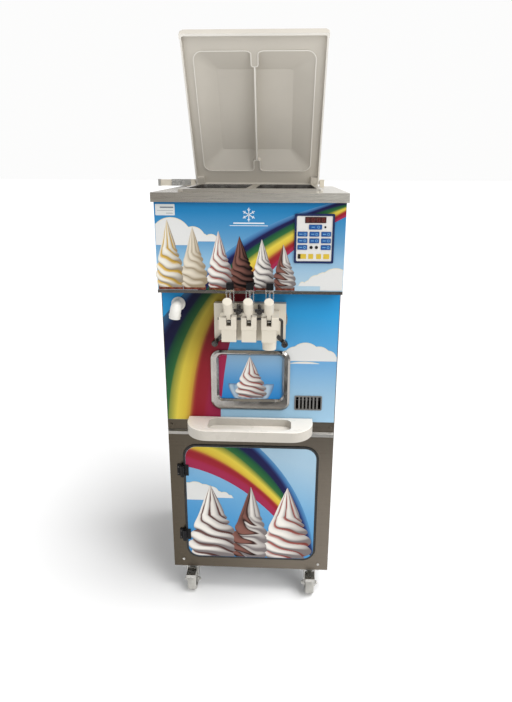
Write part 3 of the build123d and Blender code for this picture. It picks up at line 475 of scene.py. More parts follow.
def paint_controls():
    """Rim, face, display lens, lamp lenses and round buttons of the control panel."""
    low, high = layout_box("control_bezel")
    rim = 6
    face_y = HEAD_Y - 2.5

    def inside(x, z, x0, x1, z0, z1):
        return x0 - 0.05 < x < x1 + 0.05 and z0 - 0.05 < z < z1 + 0.05

    def on_face(x, y, z, n):
        return inside(x, z, low[0] + rim, high[0] - rim, low[2] + rim, high[2] - rim) and y > face_y - 0.1

    def on_lens(x, y, z, n):
        return inside(x, z, *LENS) and y < face_y

    def on_lamp(x, y, z, n):
        return y < face_y and any(inside(x, z, c - w / 2, c + w / 2, *LAMP_Z) for c, w in LAMPS)

    def dark(x, y, z, n):
        return y < face_y - 0.02 and any(math.hypot(x - cx, z - cz) < r + 0.2 for cx, cz, r in DOTS)

    paint("control_bezel", "panel_blue", ("panel_face", on_face), ("display_lens", on_lens),
          ("lamp_yellow", on_lamp), ("lamp_off", dark),
          ("black_paint", lambda x, y, z, n: y > HEAD_Y + 0.5))


# ---------------------------------------------------------------- mesh helpers
def finish_piece(name, bm, body, material, angle=32):
    """Turn a bmesh into a piece that rides on a body and takes its finish from a slot."""
    bmesh.ops.recalc_face_normals(bm, faces=bm.faces)
    mesh = bpy.data.meshes.new(name)
    bm.to_mesh(mesh)
    bm.free()
    mesh.materials.append(M[material])
    mesh.shade_smooth()
    mesh.set_sharp_from_angle(angle=math.radians(angle))
    piece = bpy.data.objects.new(name, mesh)
    bpy.context.scene.collection.objects.link(piece)
    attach(piece, body)
    return piece


def close_back(bm, y):
    """Close a front-facing sheet with side walls and a flat back at layout depth y."""
    edges = [e for e in bm.edges if e.is_boundary]
    made = bmesh.ops.extrude_edge_only(bm, edges=edges)["geom"]
    depth = FACE_Y + y * MM
    for vert in (g for g in made if isinstance(g, bmesh.types.BMVert)):
        vert.co.y = depth
    rim = [e for e in bm.edges if e.is_boundary]
    bmesh.ops.edgeloop_fill(bm, edges=rim)


def clip(bm, outline):
    """Keep only what lies inside a convex outline of layout (x, z) points, given clockwise."""
    for (x0, z0), (x1, z1) in zip(outline, outline[1:] + outline[:1]):
        outward = Vector((-(z1 - z0), 0, x1 - x0)).normalized()
        geometry = bm.verts[:] + bm.edges[:] + bm.faces[:]
        bmesh.ops.bisect_plane(bm, geom=geometry, plane_co=at(x0, 0, z0), plane_no=outward,
                               clear_outer=True, dist=1e-7)


def rounded(x0, x1, z0, z1, r, steps=6):
    """Clockwise outline of a rectangle with rounded corners."""
    points = []
    for cx, cz, start in ((x0 + r, z1 - r, 180), (x1 - r, z1 - r, 90), (x1 - r, z0 + r, 0),
                          (x0 + r, z0 + r, 270)):
        for step in range(steps + 1):
            a = math.radians(start - 90 * step / steps)
            points.append((cx + r * math.cos(a), cz + r * math.sin(a)))
    return points


def grid(bm, rows, colours):
    """Faces over a rectangle of points, with a print colour on each."""
    layer = bm.verts.layers.float_color.new("print")
    verts = []
    for row, shades in zip(rows, colours):
        line = []
        for point, shade in zip(row, shades):
            vert = bm.verts.new(point)
            vert[layer] = shade
            line.append(vert)
        verts.append(line)
    for upper, lower in zip(verts, verts[1:]):
        for a, b, c, d in zip(upper, upper[1:], lower[1:], lower):
            bm.faces.new((a, b, c, d))


def plate(name, outline, y0, y1, body, material):
    """A front-facing plate with the given outline, from depth y0 at the front to y1."""
    bm = bmesh.new()
    front = [bm.verts.new(at(x, y0, z)) for x, z in outline]
    back = [bm.verts.new(at(x, y1, z)) for x, z in outline]
    bm.faces.new(front)
    bm.faces.new(list(reversed(back)))
    for i in range(len(outline)):
        j = (i + 1) % len(outline)
        bm.faces.new((front[i], back[i], back[j], front[j]))
    return finish_piece(name, bm, body, material)


def lathe(name, profile, origin, axis, body, material, segments=32):
    """A turned piece: profile of (radius, height) from one end to the other, along an axis."""
    bm = bmesh.new()
    turn = Vector((0, 0, 1)).rotation_difference(Vector(axis)).to_matrix()
    rings = []
    for radius, height in profile:
        ring = []
        for k in range(segments):
            a = 2 * math.pi * k / segments
            local = Vector((radius * math.cos(a), radius * math.sin(a), height)) * MM
            ring.append(bm.verts.new(at(*origin) + turn @ local))
        rings.append(ring)
    for lower, upper in zip(rings, rings[1:]):
        for k in range(segments):
            j = (k + 1) % segments
            bm.faces.new((lower[k], lower[j], upper[j], upper[k]))
    bm.faces.new(list(reversed(rings[0])))
    bm.faces.new(rings[-1])
    return finish_piece(name, bm, body, material)


# ---------------------------------------------------------------- printed rainbow
BAND_COLOURS = [(0.0, ink(84, 142, 190)), (0.45, ink(70, 120, 168)), (0.9, ink(52, 84, 138)),
                (1.1, ink(30, 24, 74)), (1.8, ink(28, 32, 74)), (2.15, ink(30, 88, 56)),
                (2.8, ink(52, 108, 58)), (3.1, ink(150, 152, 60)), (3.4, ink(222, 200, 74)),
                (3.85, ink(216, 184, 62)), (4.15, ink(184, 116, 54)), (4.55, ink(158, 52, 46)),
                (5.0, ink(150, 34, 44)), (5.9, ink(156, 36, 52)), (6.15, ink(162, 42, 76)),
                (7.0, ink(158, 44, 80))]
# Cubic control points of each band's edge, from the outer blue to the inner crimson one.
UPPER_RAINBOW = [
    ((-270, 1013), (-86, 1228), (4, 1297), (215, 1357)),
    ((-273, 964), (-134, 1163), (-17, 1276), (233, 1357)),
    ((-266, 866), (-201, 1092), (29, 1303), (271, 1357)),
    ((-265, 677), (-244, 1008), (-64, 1228), (271, 1351)),
    ((-199, 682), (-162, 997), (-112, 1142), (272, 1343)),
    ((-180, 684), (-145, 930), (-153, 1096), (272, 1337)),
    ((-146, 702), (-108, 989), (1, 1196), (272, 1332)),
    ((-96, 685), (-97, 985), (17, 1197), (273, 1325)),
]
LOWER_RAINBOW = [
    ((27, 580), (177, 433), (216, 214)),
    ((8, 576), (151, 441), (209, 206)),
    ((-41, 575), (68, 488), (116, 400)),
    ((-90, 574), (-28, 542), (113, 378)),
    ((-193, 571), (-55, 527), (101, 356)),
    ((-215, 562), (-34, 504), (96, 347)),
    ((-222, 543), (-13, 481), (91, 338)),
    ((-222, 505), (-57, 474), (85, 315)),
]


# How much of its colour the middle panel's rainbow keeps, by height: a painted shadow of the overhanging
# head, deepest near the top.
PAINTED_HEAD_SHADOW = [(700, (0.95,)), (860, (0.80,)), (960, (0.50,)), (1050, (0.45,))]


def bezier(points, t):
    """Point at t on a Bezier curve; t may run past either end."""
    while len(points) > 1:
        points = [mix(a, b, t) for a, b in zip(points, points[1:])]
    return points[0]


def rainbow(name, edges, span, outline, y, body, painted_shadow=None, steps=60, per_band=5):
    """Printed rainbow between its edge curves, cut to the panel's outline; an optional table darkens it by
    height, a painted shadow.
    """
    rows, colours = [], []
    for step in range(steps + 1):
        t = span[0] + (span[1] - span[0]) * step / steps
        points = [bezier(edge, t) for edge in edges]
        row, shades = [], []
        for column in range((len(edges) - 1) * per_band + 1):
            place = column / per_band
            band = min(int(place), len(edges) - 2)
            x, z = mix(points[band], points[band + 1], place - band)
            row.append(at(x, y - FILM, z))
            shade = ramp(BAND_COLOURS, place)
            # painted shadow: the band colour darkened by height
            shades.append(darker(shade, ramp(painted_shadow, z)[0]) if painted_shadow else shade)
        rows.append(row)
        colours.append(shades)
    bm = bmesh.new()
    grid(bm, rows, colours)
    clip(bm, outline)
    close_back(bm, y + 0.02)
    return finish_piece(name, bm, body, "printed_panel", angle=60)


# ---------------------------------------------------------------- printed clouds
CLOUD = ink(222, 222, 220)
CLOUD_EDGE = ink(226, 216, 190)


def cloud(name, bumps, base, ends, y, body, step=1.5):
    """A flat-bottomed cloud under overlapping round bumps (x, z, radius)."""
    columns = int((ends[1] - ends[0]) / step)
    rows = [[] for _ in range(5)]
    colours = [[] for _ in range(5)]
    for column in range(columns + 1):
        x = ends[0] + (ends[1] - ends[0]) * column / columns
        top = base + 1.5
        for cx, cz, r in bumps:
            if abs(x - cx) < r:
                top = max(top, cz + math.sqrt(r * r - (x - cx) ** 2))
        height = top - base
        for number, share in enumerate((0.0, 0.5, 1 - 3.5 / max(height, 8), 1 - 1.2 / max(height, 4), 1.0)):
            rows[number].append(at(x, y - FILM * 1.3, base + share * height))
            colours[number].append((CLOUD, CLOUD, CLOUD, CLOUD_EDGE, CLOUD_EDGE)[number])
    bm = bmesh.new()
    grid(bm, rows, colours)
    close_back(bm, y + 0.02)
    return finish_piece(name, bm, body, "printed_panel", angle=60)


def clouds():
    edge = HEAD_X - 1.5
    cloud("cloud_head_left", [(-224, 1259, 60), (-162, 1258, 36)], 1241, (-edge, -148), HEAD_Y,
          "cabinet")
    cloud("cloud_head_left_tail", [(-162, 1258, 36), (-136, 1254, 21), (-110, 1252, 21), (-92, 1251, 9)],
          1252, (-148, -83), HEAD_Y, "cabinet")
    bumps = [(153, 1130, 9), (171, 1130, 13), (194, 1133, 26), (215, 1138, 29), (248, 1133, 46),
             (276, 1133, 38)]
    cloud("cloud_head_right", bumps, 1126, (140, 204.5), HEAD_Y, "cabinet")
    cloud("cloud_head_right_low", bumps, HEAD_Z0 + 3, (204.5, edge), HEAD_Y, "cabinet")
    cloud("cloud_middle", [(112, 884, 30), (140, 890, 38), (170, 893, 48), (212, 892, 37),
                           (240, 890, 26), (258, 884, 14)], 881, (100, MIDDLE_X - 1), 0, "cabinet")
    cloud("cloud_middle_foot", [(168, 700, 179)], 872, (124, 214), 0, "cabinet")
    cloud("cloud_door", [(-212, 405, 38), (-188, 409, 38), (-158, 405, 33)], 377,
          (-DOOR_X + 0.5, -150), DOOR_Y, "door")
    cloud("cloud_door_tail", [(-158, 405, 33), (-133, 404, 26), (-110, 397, 16), (-90, 392, 18),
                              (-70, 390, 9)], 387, (-150, -57), DOOR_Y, "door")


# ---------------------------------------------------------------- printed soft serve swirls
CREAM = {"light": ink(238, 234, 222), "dark": ink(140, 130, 116)}
WHITE = {"light": ink(242, 237, 229), "dark": ink(116, 108, 108)}
VANILLA = {"light": ink(226, 216, 198), "dark": ink(148, 132, 106)}
CHOCOLATE = {"light": ink(134, 90, 80), "dark": ink(14, 6, 6)}
SYRUPS = {"brown": (ink(92, 40, 34), 0.60), "red": (ink(168, 74, 64), 0.58),
          "yellow": (ink(220, 176, 60), 0.70), "shadow": (ink(72, 68, 70), 0.46), "none": None}
PROFILE = [(0.0, 0.78), (0.05, 0.95), (0.15, 1.03), (0.32, 0.92), (0.45, 0.74), (0.56, 0.58),
           (0.67, 0.46), (0.84, 0.24), (0.93, 0.11), (1.0, 0.012)]


PILE_TOP = 0.55                              # the layers reach this share of the height
LAYERS = 3.9
FLUTES = 8.5


def profile_at(height):
    """Half-width of a swirl at a share of its height, as a share of the widest."""
    for (h0, w0), (h1, w1) in zip(PROFILE, PROFILE[1:]):
        if height <= h1:
            t = (height - h0) / (h1 - h0)
            return w0 + (w1 - w0) * t
    return PROFILE[-1][1]


def swirl_surface(tip, foot, half, seed, rows, columns):
    """Points of a piped cone's front, how far each is from a crease, and the phase of its winding.

    The upper part is fluted from the tip down; below, the rope lies in slanting, overlapping layers.
    """
    h = np.linspace(0, 1, rows)[:, None]
    theta = np.linspace(-math.pi / 2, math.pi / 2, columns)[None, :]
    width = np.array([profile_at(v) for v in h[:, 0]])
    kernel = np.hanning(rows // 12 * 2 + 1)
    padded = np.pad(width, len(kernel) // 2, mode="reflect", reflect_type="odd")
    width = np.convolve(padded, kernel / kernel.sum(), mode="valid")[:, None] * half
    piled = 1 / (1 + np.exp((h - PILE_TOP) / 0.035))
    layers = LAYERS * np.minimum(h, PILE_TOP + 0.04) / PILE_TOP
    slant = 3.1 * piled + FLUTES * (1 - piled)
    sway = 0.75 * np.sin(2.1 * theta + 8 * h + seed) + 0.5 * np.sin(3.3 * theta - 15 * h + 2 * seed)
    phase = slant * theta + 2 * math.pi * layers + sway * (0.4 + 0.6 * piled)
    wave = np.abs(np.sin(phase / 2)) ** 0.6
    relief = 0.24 * piled + 0.13 * (1 - piled)
    radius = width * (1 - relief + relief * wave * 1.25)
    x = foot[0] + (tip[0] - foot[0]) * h + radius * np.sin(theta)
    y = -radius * np.cos(theta)
    z = foot[1] + (tip[1] - foot[1]) * h - 0.08 * half * wave * piled * np.cos(theta) * np.clip(h * 8, 0, 1)
    return x, y, z, wave, phase


def blend(under, over, share):
    return under * (1 - share) + over * share


def swirl(name, tip, foot, half, flavour, syrup, y, body, outline=None, second=None, seed=0.0,
          rows=150, columns=70):
    """A printed picture of a soft serve swirl, shaded as its wound shape would be."""
    x, depth, z, wave, phase = swirl_surface(tip, foot, half, seed, rows, columns)
    across = [np.gradient(a, axis=1) for a in (x, depth, z)]
    upward = [np.gradient(a, axis=0) for a in (x, depth, z)]
    normal = np.cross(np.stack(across, -1), np.stack(upward, -1))
    normal /= np.linalg.norm(normal, axis=-1, keepdims=True) + 1e-9
    lit = np.clip(normal @ np.array([-0.45, -0.62, 0.64]), 0, 1)
    shade = np.clip(0.05 + 1.05 * lit * (0.35 + 0.65 * wave), 0, 1)[..., None]
    shade = shade ** (1.8 if flavour is CHOCOLATE and not second else 1.15)
    tones = [(np.array(f["dark"]), np.array(f["light"])) for f in (flavour, second) if f]
    colour = blend(*tones[0], shade)
    h = np.linspace(0, 1, rows)[:, None]
    theta = np.linspace(-math.pi / 2, math.pi / 2, columns)[None, :]
    if second:
        piled = 1 / (1 + np.exp((h - PILE_TOP) / 0.035))
        turn = theta + 0.18 + 0.6 * piled * np.sin(phase + 0.8) + 0.12 * np.sin(11 * h)
        side = np.clip(0.5 + 6 * np.sin(turn), 0, 1)[..., None]
        colour = blend(colour, blend(*tones[1], shade), side)
        seam = np.exp(-((np.sin(turn) + 0.16) / 0.15) ** 2) * (np.cos(turn) > 0)
        colour = blend(colour, tones[0][0], 0.85 * seam[..., None])
    if SYRUPS[syrup]:
        tint, spread = SYRUPS[syrup]
        wobble = 0.09 * np.sin(5 * phase + 23 * h + seed) + 0.06 * np.sin(17 * h + 4 * theta)
        line = np.clip((spread + wobble - wave) / 0.14, 0, 1)[..., None]
        colour = blend(colour, np.array(tint) * (0.5 + 0.7 * shade), 0.9 * line)
    colour[..., 3] = 1
    relief = 0.35 * np.cos(theta[0])
    points = [[at(x[i, j], y - FILM * 1.6 - relief[j], z[i, j]) for j in range(columns)]
              for i in range(rows)]
    bm = bmesh.new()
    grid(bm, points, colour.tolist())
    if outline:
        clip(bm, outline)
    close_back(bm, y + 0.02)
    return finish_piece(name, bm, body, "printed_panel", angle=75)


def swirls():
    low = HEAD_Z0 + 8
    head = (("yellow", -235, -230, 1312, 41, CREAM, "yellow", None),
            ("vanilla", -163, -161, 1292, 38, VANILLA, "none", None),
            ("red", -89, -85, 1281, 37, WHITE, "red", None),
            ("chocolate", -29, -18, 1267, 36, CHOCOLATE, "none", None),
            ("white", 35, 43, 1259, 31, WHITE, "shadow", None),
            ("two_flavour", 96, 103, 1245, 31, CHOCOLATE, "none", WHITE))
    for number, (label, tip, foot, top, half, flavour, syrup, second) in enumerate(head):
        swirl(f"swirl_head_{label}", (tip, top), (foot, low), half, flavour, syrup, HEAD_Y, "cabinet",
              second=second, seed=1.7 * number, rows=120, columns=52)
    door_outline = rounded(-DOOR_X + 0.5, DOOR_X - 0.5, DOOR_Z0 + 0.5, DOOR_Z1 - 0.5, DOOR_R)
    foot_z = DOOR_Z0 + 1
    door = (("two_flavour", 1, -2, 432, 66, CHOCOLATE, "none", WHITE),
            ("brown", -136, -126, 434, 84, WHITE, "brown", None),
            ("red", 124, 126, 431, 82, WHITE, "red", None))
    for number, (label, tip, foot, top, half, flavour, syrup, second) in enumerate(door):
        swirl(f"swirl_door_{label}", (tip, top), (foot, foot_z), half, flavour, syrup, DOOR_Y, "door",
              door_outline, second, 0.9 + 2.3 * number, rows=190, columns=84)
    swirl("swirl_window", (-2, 893), (3, PANE_Z0 + 3), 47, WHITE, "red", PANE_Y, "cabinet", seed=4.0,
          rows=130, columns=60)


def wafer_cups():
    """Brown cone tops that peep out under the swirls on the head."""
    shades = [(0.0, ink(98, 46, 34)), (0.45, ink(146, 84, 66)), (1.0, ink(84, 40, 30))]
    for number, (x, half) in enumerate(((-231, 36), (-161, 33), (-86, 32), (-18, 32), (43, 27), (103, 28))):
        rows, colours = [], []
        for z in (HEAD_Z0 + 1, HEAD_Z0 + 6, HEAD_Z0 + 12):
            rows.append([at(x + half * k / 8, HEAD_Y - FILM * 1.2, z) for k in range(-8, 9)])
            colours.append([ramp(shades, abs(math.sin(k * 1.9 + z * 0.4))) for k in range(-8, 9)])
        bm = bmesh.new()
        grid(bm, rows, colours)
        close_back(bm, HEAD_Y + 0.02)
        finish_piece(f"wafer_cup_{number}", bm, "cabinet", "printed_panel")


def window_picture():
    """Crimson strip of rainbow and the glass bowl on the window's picture pane."""
    strip = [(-PANE_X + 0.5, 752.5 + 9), (-PANE_X + 0.5, 889), (-92, PANE_Z1 - 1), (-73, PANE_Z1 - 1),
             (-83, 831), (-92, PANE_Z0 + 2)]
    bm = bmesh.new()
    layer = bm.verts.layers.float_color.new("print")
    verts = [bm.verts.new(at(x, PANE_Y - FILM, z)) for x, z in strip]
    for vert in verts:
        vert[layer] = ink(158, 38, 76)
    bm.faces.new(verts)
    close_back(bm, PANE_Y + 0.02)
    finish_piece("window_rainbow", bm, "cabinet", "printed_panel")
    glass, glow, rim = ink(116, 150, 182), ink(176, 194, 208), ink(90, 118, 150)
    rows, colours = [], []
    floor_z, rim_z = PANE_Z0 + 2, 803
    for step in range(9):
        t = step / 8
        half = 54 + 18 * math.sin(t * math.pi / 2)
        z = floor_z + (rim_z - floor_z) * t
        rows.append([at(2 + half * k / 12, PANE_Y - FILM, z + 5 * (1 - (k / 12) ** 2) * (t - 1))
                     for k in range(-12, 13)])
        colours.append([rim if step == 8 or abs(k) == 12 else mix(glass, glow, abs(math.sin(k * 0.8 + t)))
                        for k in range(-12, 13)])
    bm = bmesh.new()
    grid(bm, rows, colours)
    close_back(bm, PANE_Y + 0.02)
    finish_piece("window_bowl", bm, "cabinet", "printed_panel")


# ---------------------------------------------------------------- label and emblem
def bar(x0, z0, x1, z1, width):
    """Outline of a straight bar between two points."""
    along = Vector((x1 - x0, z1 - z0)).normalized()
    side = Vector((-along.y, along.x)) * width / 2
    return [(x0 + side.x, z0 + side.y), (x1 + side.x, z1 + side.y), (x1 - side.x, z1 - side.y),
            (x0 - side.x, z0 - side.y)]


def emblem():
    """Plain snowflake over two plain lines."""
    x, z, arm = -2, 1327, 19
    front = HEAD_Y - FILM * 1.2
    for spoke in range(6):
        a = math.radians(60 * spoke + 90)
        end = (x + arm * math.cos(a), z + arm * math.sin(a))
        plate(f"snowflake_arm_{spoke}", bar(x, z, *end, 2.2), front, HEAD_Y, "cabinet",
              "print_white")
        knee = (x + 0.6 * arm * math.cos(a), z + 0.6 * arm * math.sin(a))
        for side in (-1, 1):
            b = a + side * math.radians(52)
            tip = (knee[0] + 5 * math.cos(b), knee[1] + 5 * math.sin(b))
            plate(f"snowflake_twig_{spoke}_{side + 1}", bar(*knee, *tip, 1.8), front - 0.03, HEAD_Y,
                  "cabinet", "print_white")
    for number, (half, height) in enumerate(((44, 3.4), (54, 1.6))):
        line_z = 1302 - 6 * number
        plate(f"emblem_line_{number}", rounded(x - half, x + half, line_z, line_z + height, height / 2.1),
              front, HEAD_Y, "cabinet", "print_white")


def label():
    """Unlettered paper label at the head's upper left."""
    x0, x1, z0, z1 = -266, -211, 1324, 1355
    plate("label_sheet", rounded(x0, x1, z0, z1, 1.5), HEAD_Y - 0.3, HEAD_Y, "cabinet",
          "label_white")
    for number, (z, start, end, height) in enumerate(((1346, 0.24, 0.94, 4.2), (1337.5, 0.08, 0.92, 1.0),
                                                      (1330, 0.55, 0.9, 1.6))):
        width = x1 - x0
        plate(f"label_line_{number}", rounded(x0 + start * width, x0 + end * width, z - height / 2,
                                              z + height / 2, 0.4),
              HEAD_Y - 0.36, HEAD_Y, "cabinet", "label_grey")


# ---------------------------------------------------------------- control panel details
def key_marks():
    """A small ring and a short dash on each key."""
    for number in range(1, 10):
        low, high = layout_box(f"control_key_{number}")
        x, z = (low[0] + high[0]) / 2, (low[2] + high[2]) / 2
        front, body = low[1], f"control_key_{number}"
        ring_x, outer, inner = x + (high[0] - low[0]) * 0.24, 3.7, 2.5
        bm = bmesh.new()
        loops = []
        for radius, depth in ((outer, 0.0), (outer, -0.22), (inner, -0.22), (inner, 0.0)):
            turns = [2 * math.pi * k / 20 for k in range(20)]
            loops.append([bm.verts.new(at(ring_x + radius * math.cos(a), front + depth,
                                          z + radius * math.sin(a))) for a in turns])
        for one, two in zip(loops, loops[1:] + loops[:1]):
            for k in range(20):
                j = (k + 1) % 20
                bm.faces.new((one[k], one[j], two[j], two[k]))
        finish_piece(f"key_ring_{number}", bm, body, "key_mark")
        dash = x - (high[0] - low[0]) * 0.18
        plate(f"key_dash_{number}", rounded(dash - 4.5, dash + 4.5, z - 0.9, z + 0.9, 0.6), front - 0.2,
              front + 0.01, body, "key_mark")


SEGMENTS = {"a": (0, 1), "b": (1, 0.5), "c": (1, -0.5), "d": (0, -1), "e": (-1, -0.5), "f": (-1, 0.5),
            "g": (0, 0)}


def display_digits():
    """Four dim seven-segment figures behind the display's face."""
    x0, x1, z0, z1 = LENS
    z, half_w, half_h, thick = (z0 + z1) / 2, 3.2, 5.0, 0.5
    front = HEAD_Y - 3.5
    for place in range(4):
        x = x0 + (x1 - x0) * (place + 0.5) / 4
        for segment, (sx, sz) in SEGMENTS.items():
            cx, cz = x + sx * half_w, z + sz * half_h
            upright = segment in "bcef"
            w, h = (thick, half_h / 2 - 0.5) if upright else (half_w - 0.6, thick)
            plate(f"digit_{place}_{segment}", rounded(cx - w, cx + w, cz - h, cz + h, 0.3, 2),
                  front - 0.08, front + 0.01, "cabinet", "display_digit")


# ---------------------------------------------------------------- small hardware
def deck_slots():
    """Oval slots, painted near black for the shade inside them, and low rivets on the top deck."""
    top = layout_box("top_deck")[1][2] - 9
    for number, (x, y) in enumerate(((-222, 105), (-249, 412))):
        bm = bmesh.new()
        ring = [(x + 5 * math.cos(a), y + 26 * math.sin(a)) for a in
                (2 * math.pi * k / 32 for k in range(32))]
        upper = [bm.verts.new(at(px, py, top + 0.3)) for px, py in ring]
        lower = [bm.verts.new(at(px, py, top - 0.5)) for px, py in ring]
        bm.faces.new(upper)
        bm.faces.new(list(reversed(lower)))
        for k in range(32):
            j = (k + 1) % 32
            bm.faces.new((lower[k], lower[j], upper[j], upper[k]))
        # a thin oval disc at the deck's surface, painted near black as the shade inside a slot
        finish_piece(f"deck_slot_{number}", bm, "cabinet", "dark_gap")
    dome = [(6.0, 0), (5.6, 0.3), (4.0, 0.6), (0.6, 0.8)]
    for number, (x, y) in enumerate(((-188, 455), (-14, 458), (16, 455), (176, 456))):
        lathe(f"deck_rivet_{number}", dome, (x, y, top), (0, 0, 1), "cabinet", "bright_steel")


def castor_details():
    """Axle nuts and a swivel race on each castor."""
    race = [(24, 0), (25.5, 1.2), (25.5, 3.2), (24, 4.4), (10, 4.4)]
    nut = [(6.5, -0.5), (6.5, 4), (5.5, 5), (3.4, 5), (3.2, 6.5), (1, 7)]
    for name in ("front_left", "front_right", "rear_left", "rear_right"):
        low, high = layout_box(f"castor_wheel_{name}")
        axle_y, axle_z = (low[1] + high[1]) / 2, (low[2] + high[2]) / 2
        x = (low[0] + high[0]) / 2
        for side in (-1, 1):
            start = (x + side * 23, axle_y, axle_z)
            lathe(f"axle_nut_{name}_{side + 1}", nut, start, (side, 0, 0), f"castor_{name}",
                  "zinc_steel", 6)
        lathe(f"swivel_race_{name}", race, (x, axle_y + CASTOR_TRAIL, 83.5), (0, 0, 1), f"castor_{name}",
              "dark_metal")


def slot_pins():
    """A bright roller across each lever's hub, where it shows in the slot of its block."""
    for side in ("left", "middle", "right"):
        low, high = layout_box(f"draw_lever_{side}")
        x = (low[0] + high[0]) / 2
        pin = [(1.0, 0), (1.9, 0.8), (1.9, 9.2), (1.0, 10)]
        lathe(f"lever_roller_{side}", pin, (x - 5, LEVER_Y - 12.5, LEVER_Z - 6), (1, 0, 0),
              f"draw_lever_{side}", "zinc_steel", 16)


def lamp_square():
    """Dark end of the first lamp lens."""
    x0 = LAMPS[0][0] - LAMPS[0][1] / 2
    low, high = LAMP_Z
    plate("lamp_square", rounded(x0 + 0.5, x0 + 8, low + 0.5, high - 0.5, 0.5), HEAD_Y - 3.8, HEAD_Y - 3.0,
          "cabinet", "lamp_off")


def hinge_screws():
    """Countersunk screw heads on the fixed door hinge leaves."""
    head = [(2.8, 0), (2.8, 0.5), (1.8, 1.2), (0.5, 1.3)]
    leaf_x, leaf_y = -240.5, -5
    heights = [hinge_z + offset for hinge_z in (240, 490) for offset in (-12, 12)]
    for number, z in enumerate(heights):
        lathe(f"hinge_screw_{number}", head, (leaf_x, leaf_y, z), (0, -1, 0), "cabinet",
              "dark_metal", 20)


# ---------------------------------------------------------------- stage
def studio():
    """Pale floor, soft light, and dark screens that give the polished steel something to show."""
    floor = bpy.data.meshes.new("floor")
    half = 60
    floor.from_pydata([(-half, -half, 0), (half, -half, 0), (half, half, 0), (-half, half, 0)], [],
                      [(0, 1, 2, 3)])
    n = Nodes("floor")
    tint = n.colours(n.noise(1.5), [(0.3, (0.885, 0.885, 0.885, 1)), (0.7, (0.895, 0.895, 0.895, 1))])
    n.link(tint, n.shader.inputs["Base Color"])
    n.set(Roughness=0.75)
    floor.materials.append(n.material)
    ground = bpy.data.objects.new("floor", floor)
    bpy.context.scene.collection.objects.link(ground)
    sky()
    sunlight("key", 1.15, 35, (-0.60, 0.62, -0.50))
    sunlight("top", 2.15, 34, (-0.36, 0.12, -0.92))
    flag("flag_upright", [(-2.2, -3.4, 0.1), (2.2, -3.4, 0.1), (2.2, -3.4, 2.2), (-2.2, -3.4, 2.2)],
         (0.42, 0.62))
    flag("flag_floor", [(-0.17, -3.35, 0.004), (2.4, -3.35, 0.004), (2.4, -1.3, 0.004), (-0.17, -1.3, 0.004)],
         (0.02, 0.06))
    flag("flag_right", [(2.45, -3.3, 0.1), (2.45, -0.6, 0.1), (2.45, -0.6, 2.2), (2.45, -3.3, 2.2)],
         (0.15, 0.30))


def sunlight(name, energy, spread, direction):
    """Broad, distant lamp; spread is its angle in degrees."""
    data = bpy.data.lights.new(name, "SUN")
    data.energy = energy
    data.angle = math.radians(spread)
    lamp = bpy.data.objects.new(name, data)
    bpy.context.scene.collection.objects.link(lamp)
    lamp.rotation_euler = Vector(direction).to_track_quat("-Z", "Y").to_euler()


def sky():
    """White round the horizon, dimmer overhead."""
    world = bpy.data.worlds.new("studio")
    bpy.context.scene.world = world
    world.use_nodes = True
    tree = world.node_tree
    background = tree.nodes["Background"]
    coordinates = tree.nodes.new("ShaderNodeTexCoord")
    split = tree.nodes.new("ShaderNodeSeparateXYZ")
    fade = tree.nodes.new("ShaderNodeValToRGB")
    tree.links.new(coordinates.outputs["Generated"], split.inputs["Vector"])
    tree.links.new(split.outputs["Z"], fade.inputs["Fac"])
    tree.links.new(fade.outputs["Color"], background.inputs["Color"])
    low, high = fade.color_ramp.elements
    low.position, low.color = 0.28, (0.975, 0.975, 0.972, 1)
    high.position, high.color = 0.6, (0.45, 0.45, 0.45, 1)


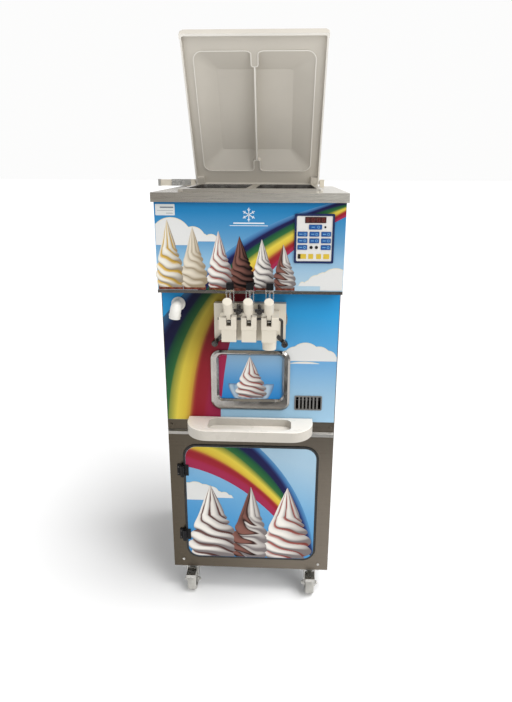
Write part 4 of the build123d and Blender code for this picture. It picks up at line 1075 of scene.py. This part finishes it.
def flag(name, corners, tones):
    """Grey cloth that only shows in reflections."""
    mesh = bpy.data.meshes.new(name)
    mesh.from_pydata(corners, [], [(0, 1, 2, 3)])
    n = Nodes(name)
    shades = [(place, (tone, tone, tone, 1)) for place, tone in zip((0.3, 0.7), tones)]
    n.link(n.colours(n.noise(1.2), shades), n.shader.inputs["Base Color"])
    mesh.materials.append(n.material)
    cloth = bpy.data.objects.new(name, mesh)
    for kind in ("camera", "diffuse", "shadow", "transmission"):
        setattr(cloth, f"visible_{kind}", False)
    bpy.context.scene.collection.objects.link(cloth)


def camera():
    """Standing in front, a little to the right, looking down."""
    data = bpy.data.cameras.new("camera")
    data.sensor_width = 36
    data.lens = 29.2
    view = bpy.data.objects.new("camera", data)
    bpy.context.scene.collection.objects.link(view)
    yaw, pitch, roll = math.radians(2.68), math.radians(18.0), math.radians(0.15)
    turn = (Matrix.Rotation(yaw, 4, "Z") @ Matrix.Rotation(math.pi / 2 - pitch, 4, "X")
            @ Matrix.Rotation(roll, 4, "Z"))
    view.matrix_world = Matrix.Translation(at(95.7, -1678, 1457)) @ turn
    bpy.context.scene.camera = view


# ---------------------------------------------------------------- build
camera()
studio()
bpy.context.scene.view_settings.view_transform = "Standard"
paint_all()
HEAD_OUTLINE = rounded(-HEAD_X + 0.6, HEAD_X - 0.6, HEAD_Z0, HEAD_Z1 - 0.4, 0.5, 1)
MIDDLE_OUTLINE = rounded(-MIDDLE_X, MIDDLE_X, MIDDLE_Z0 + 0.4, MIDDLE_Z1, 0.5, 1)
DOOR_OUTLINE = rounded(-DOOR_X + 0.4, DOOR_X - 0.4, DOOR_Z0 + 0.4, DOOR_Z1 - 0.4, DOOR_R)
rainbow("rainbow_head", UPPER_RAINBOW, (0.3, 1.02), HEAD_OUTLINE, HEAD_Y, "cabinet")
# the middle panel's rainbow carries the head's painted shadow
rainbow("rainbow_middle", UPPER_RAINBOW, (-0.06, 0.8), MIDDLE_OUTLINE, 0, "cabinet", PAINTED_HEAD_SHADOW)
rainbow("rainbow_door", LOWER_RAINBOW, (-0.12, 1.2), DOOR_OUTLINE, DOOR_Y, "door")
clouds()
swirls()
wafer_cups()
window_picture()
emblem()
label()
key_marks()
display_digits()
deck_slots()
castor_details()
slot_pins()
lamp_square()
hinge_screws()
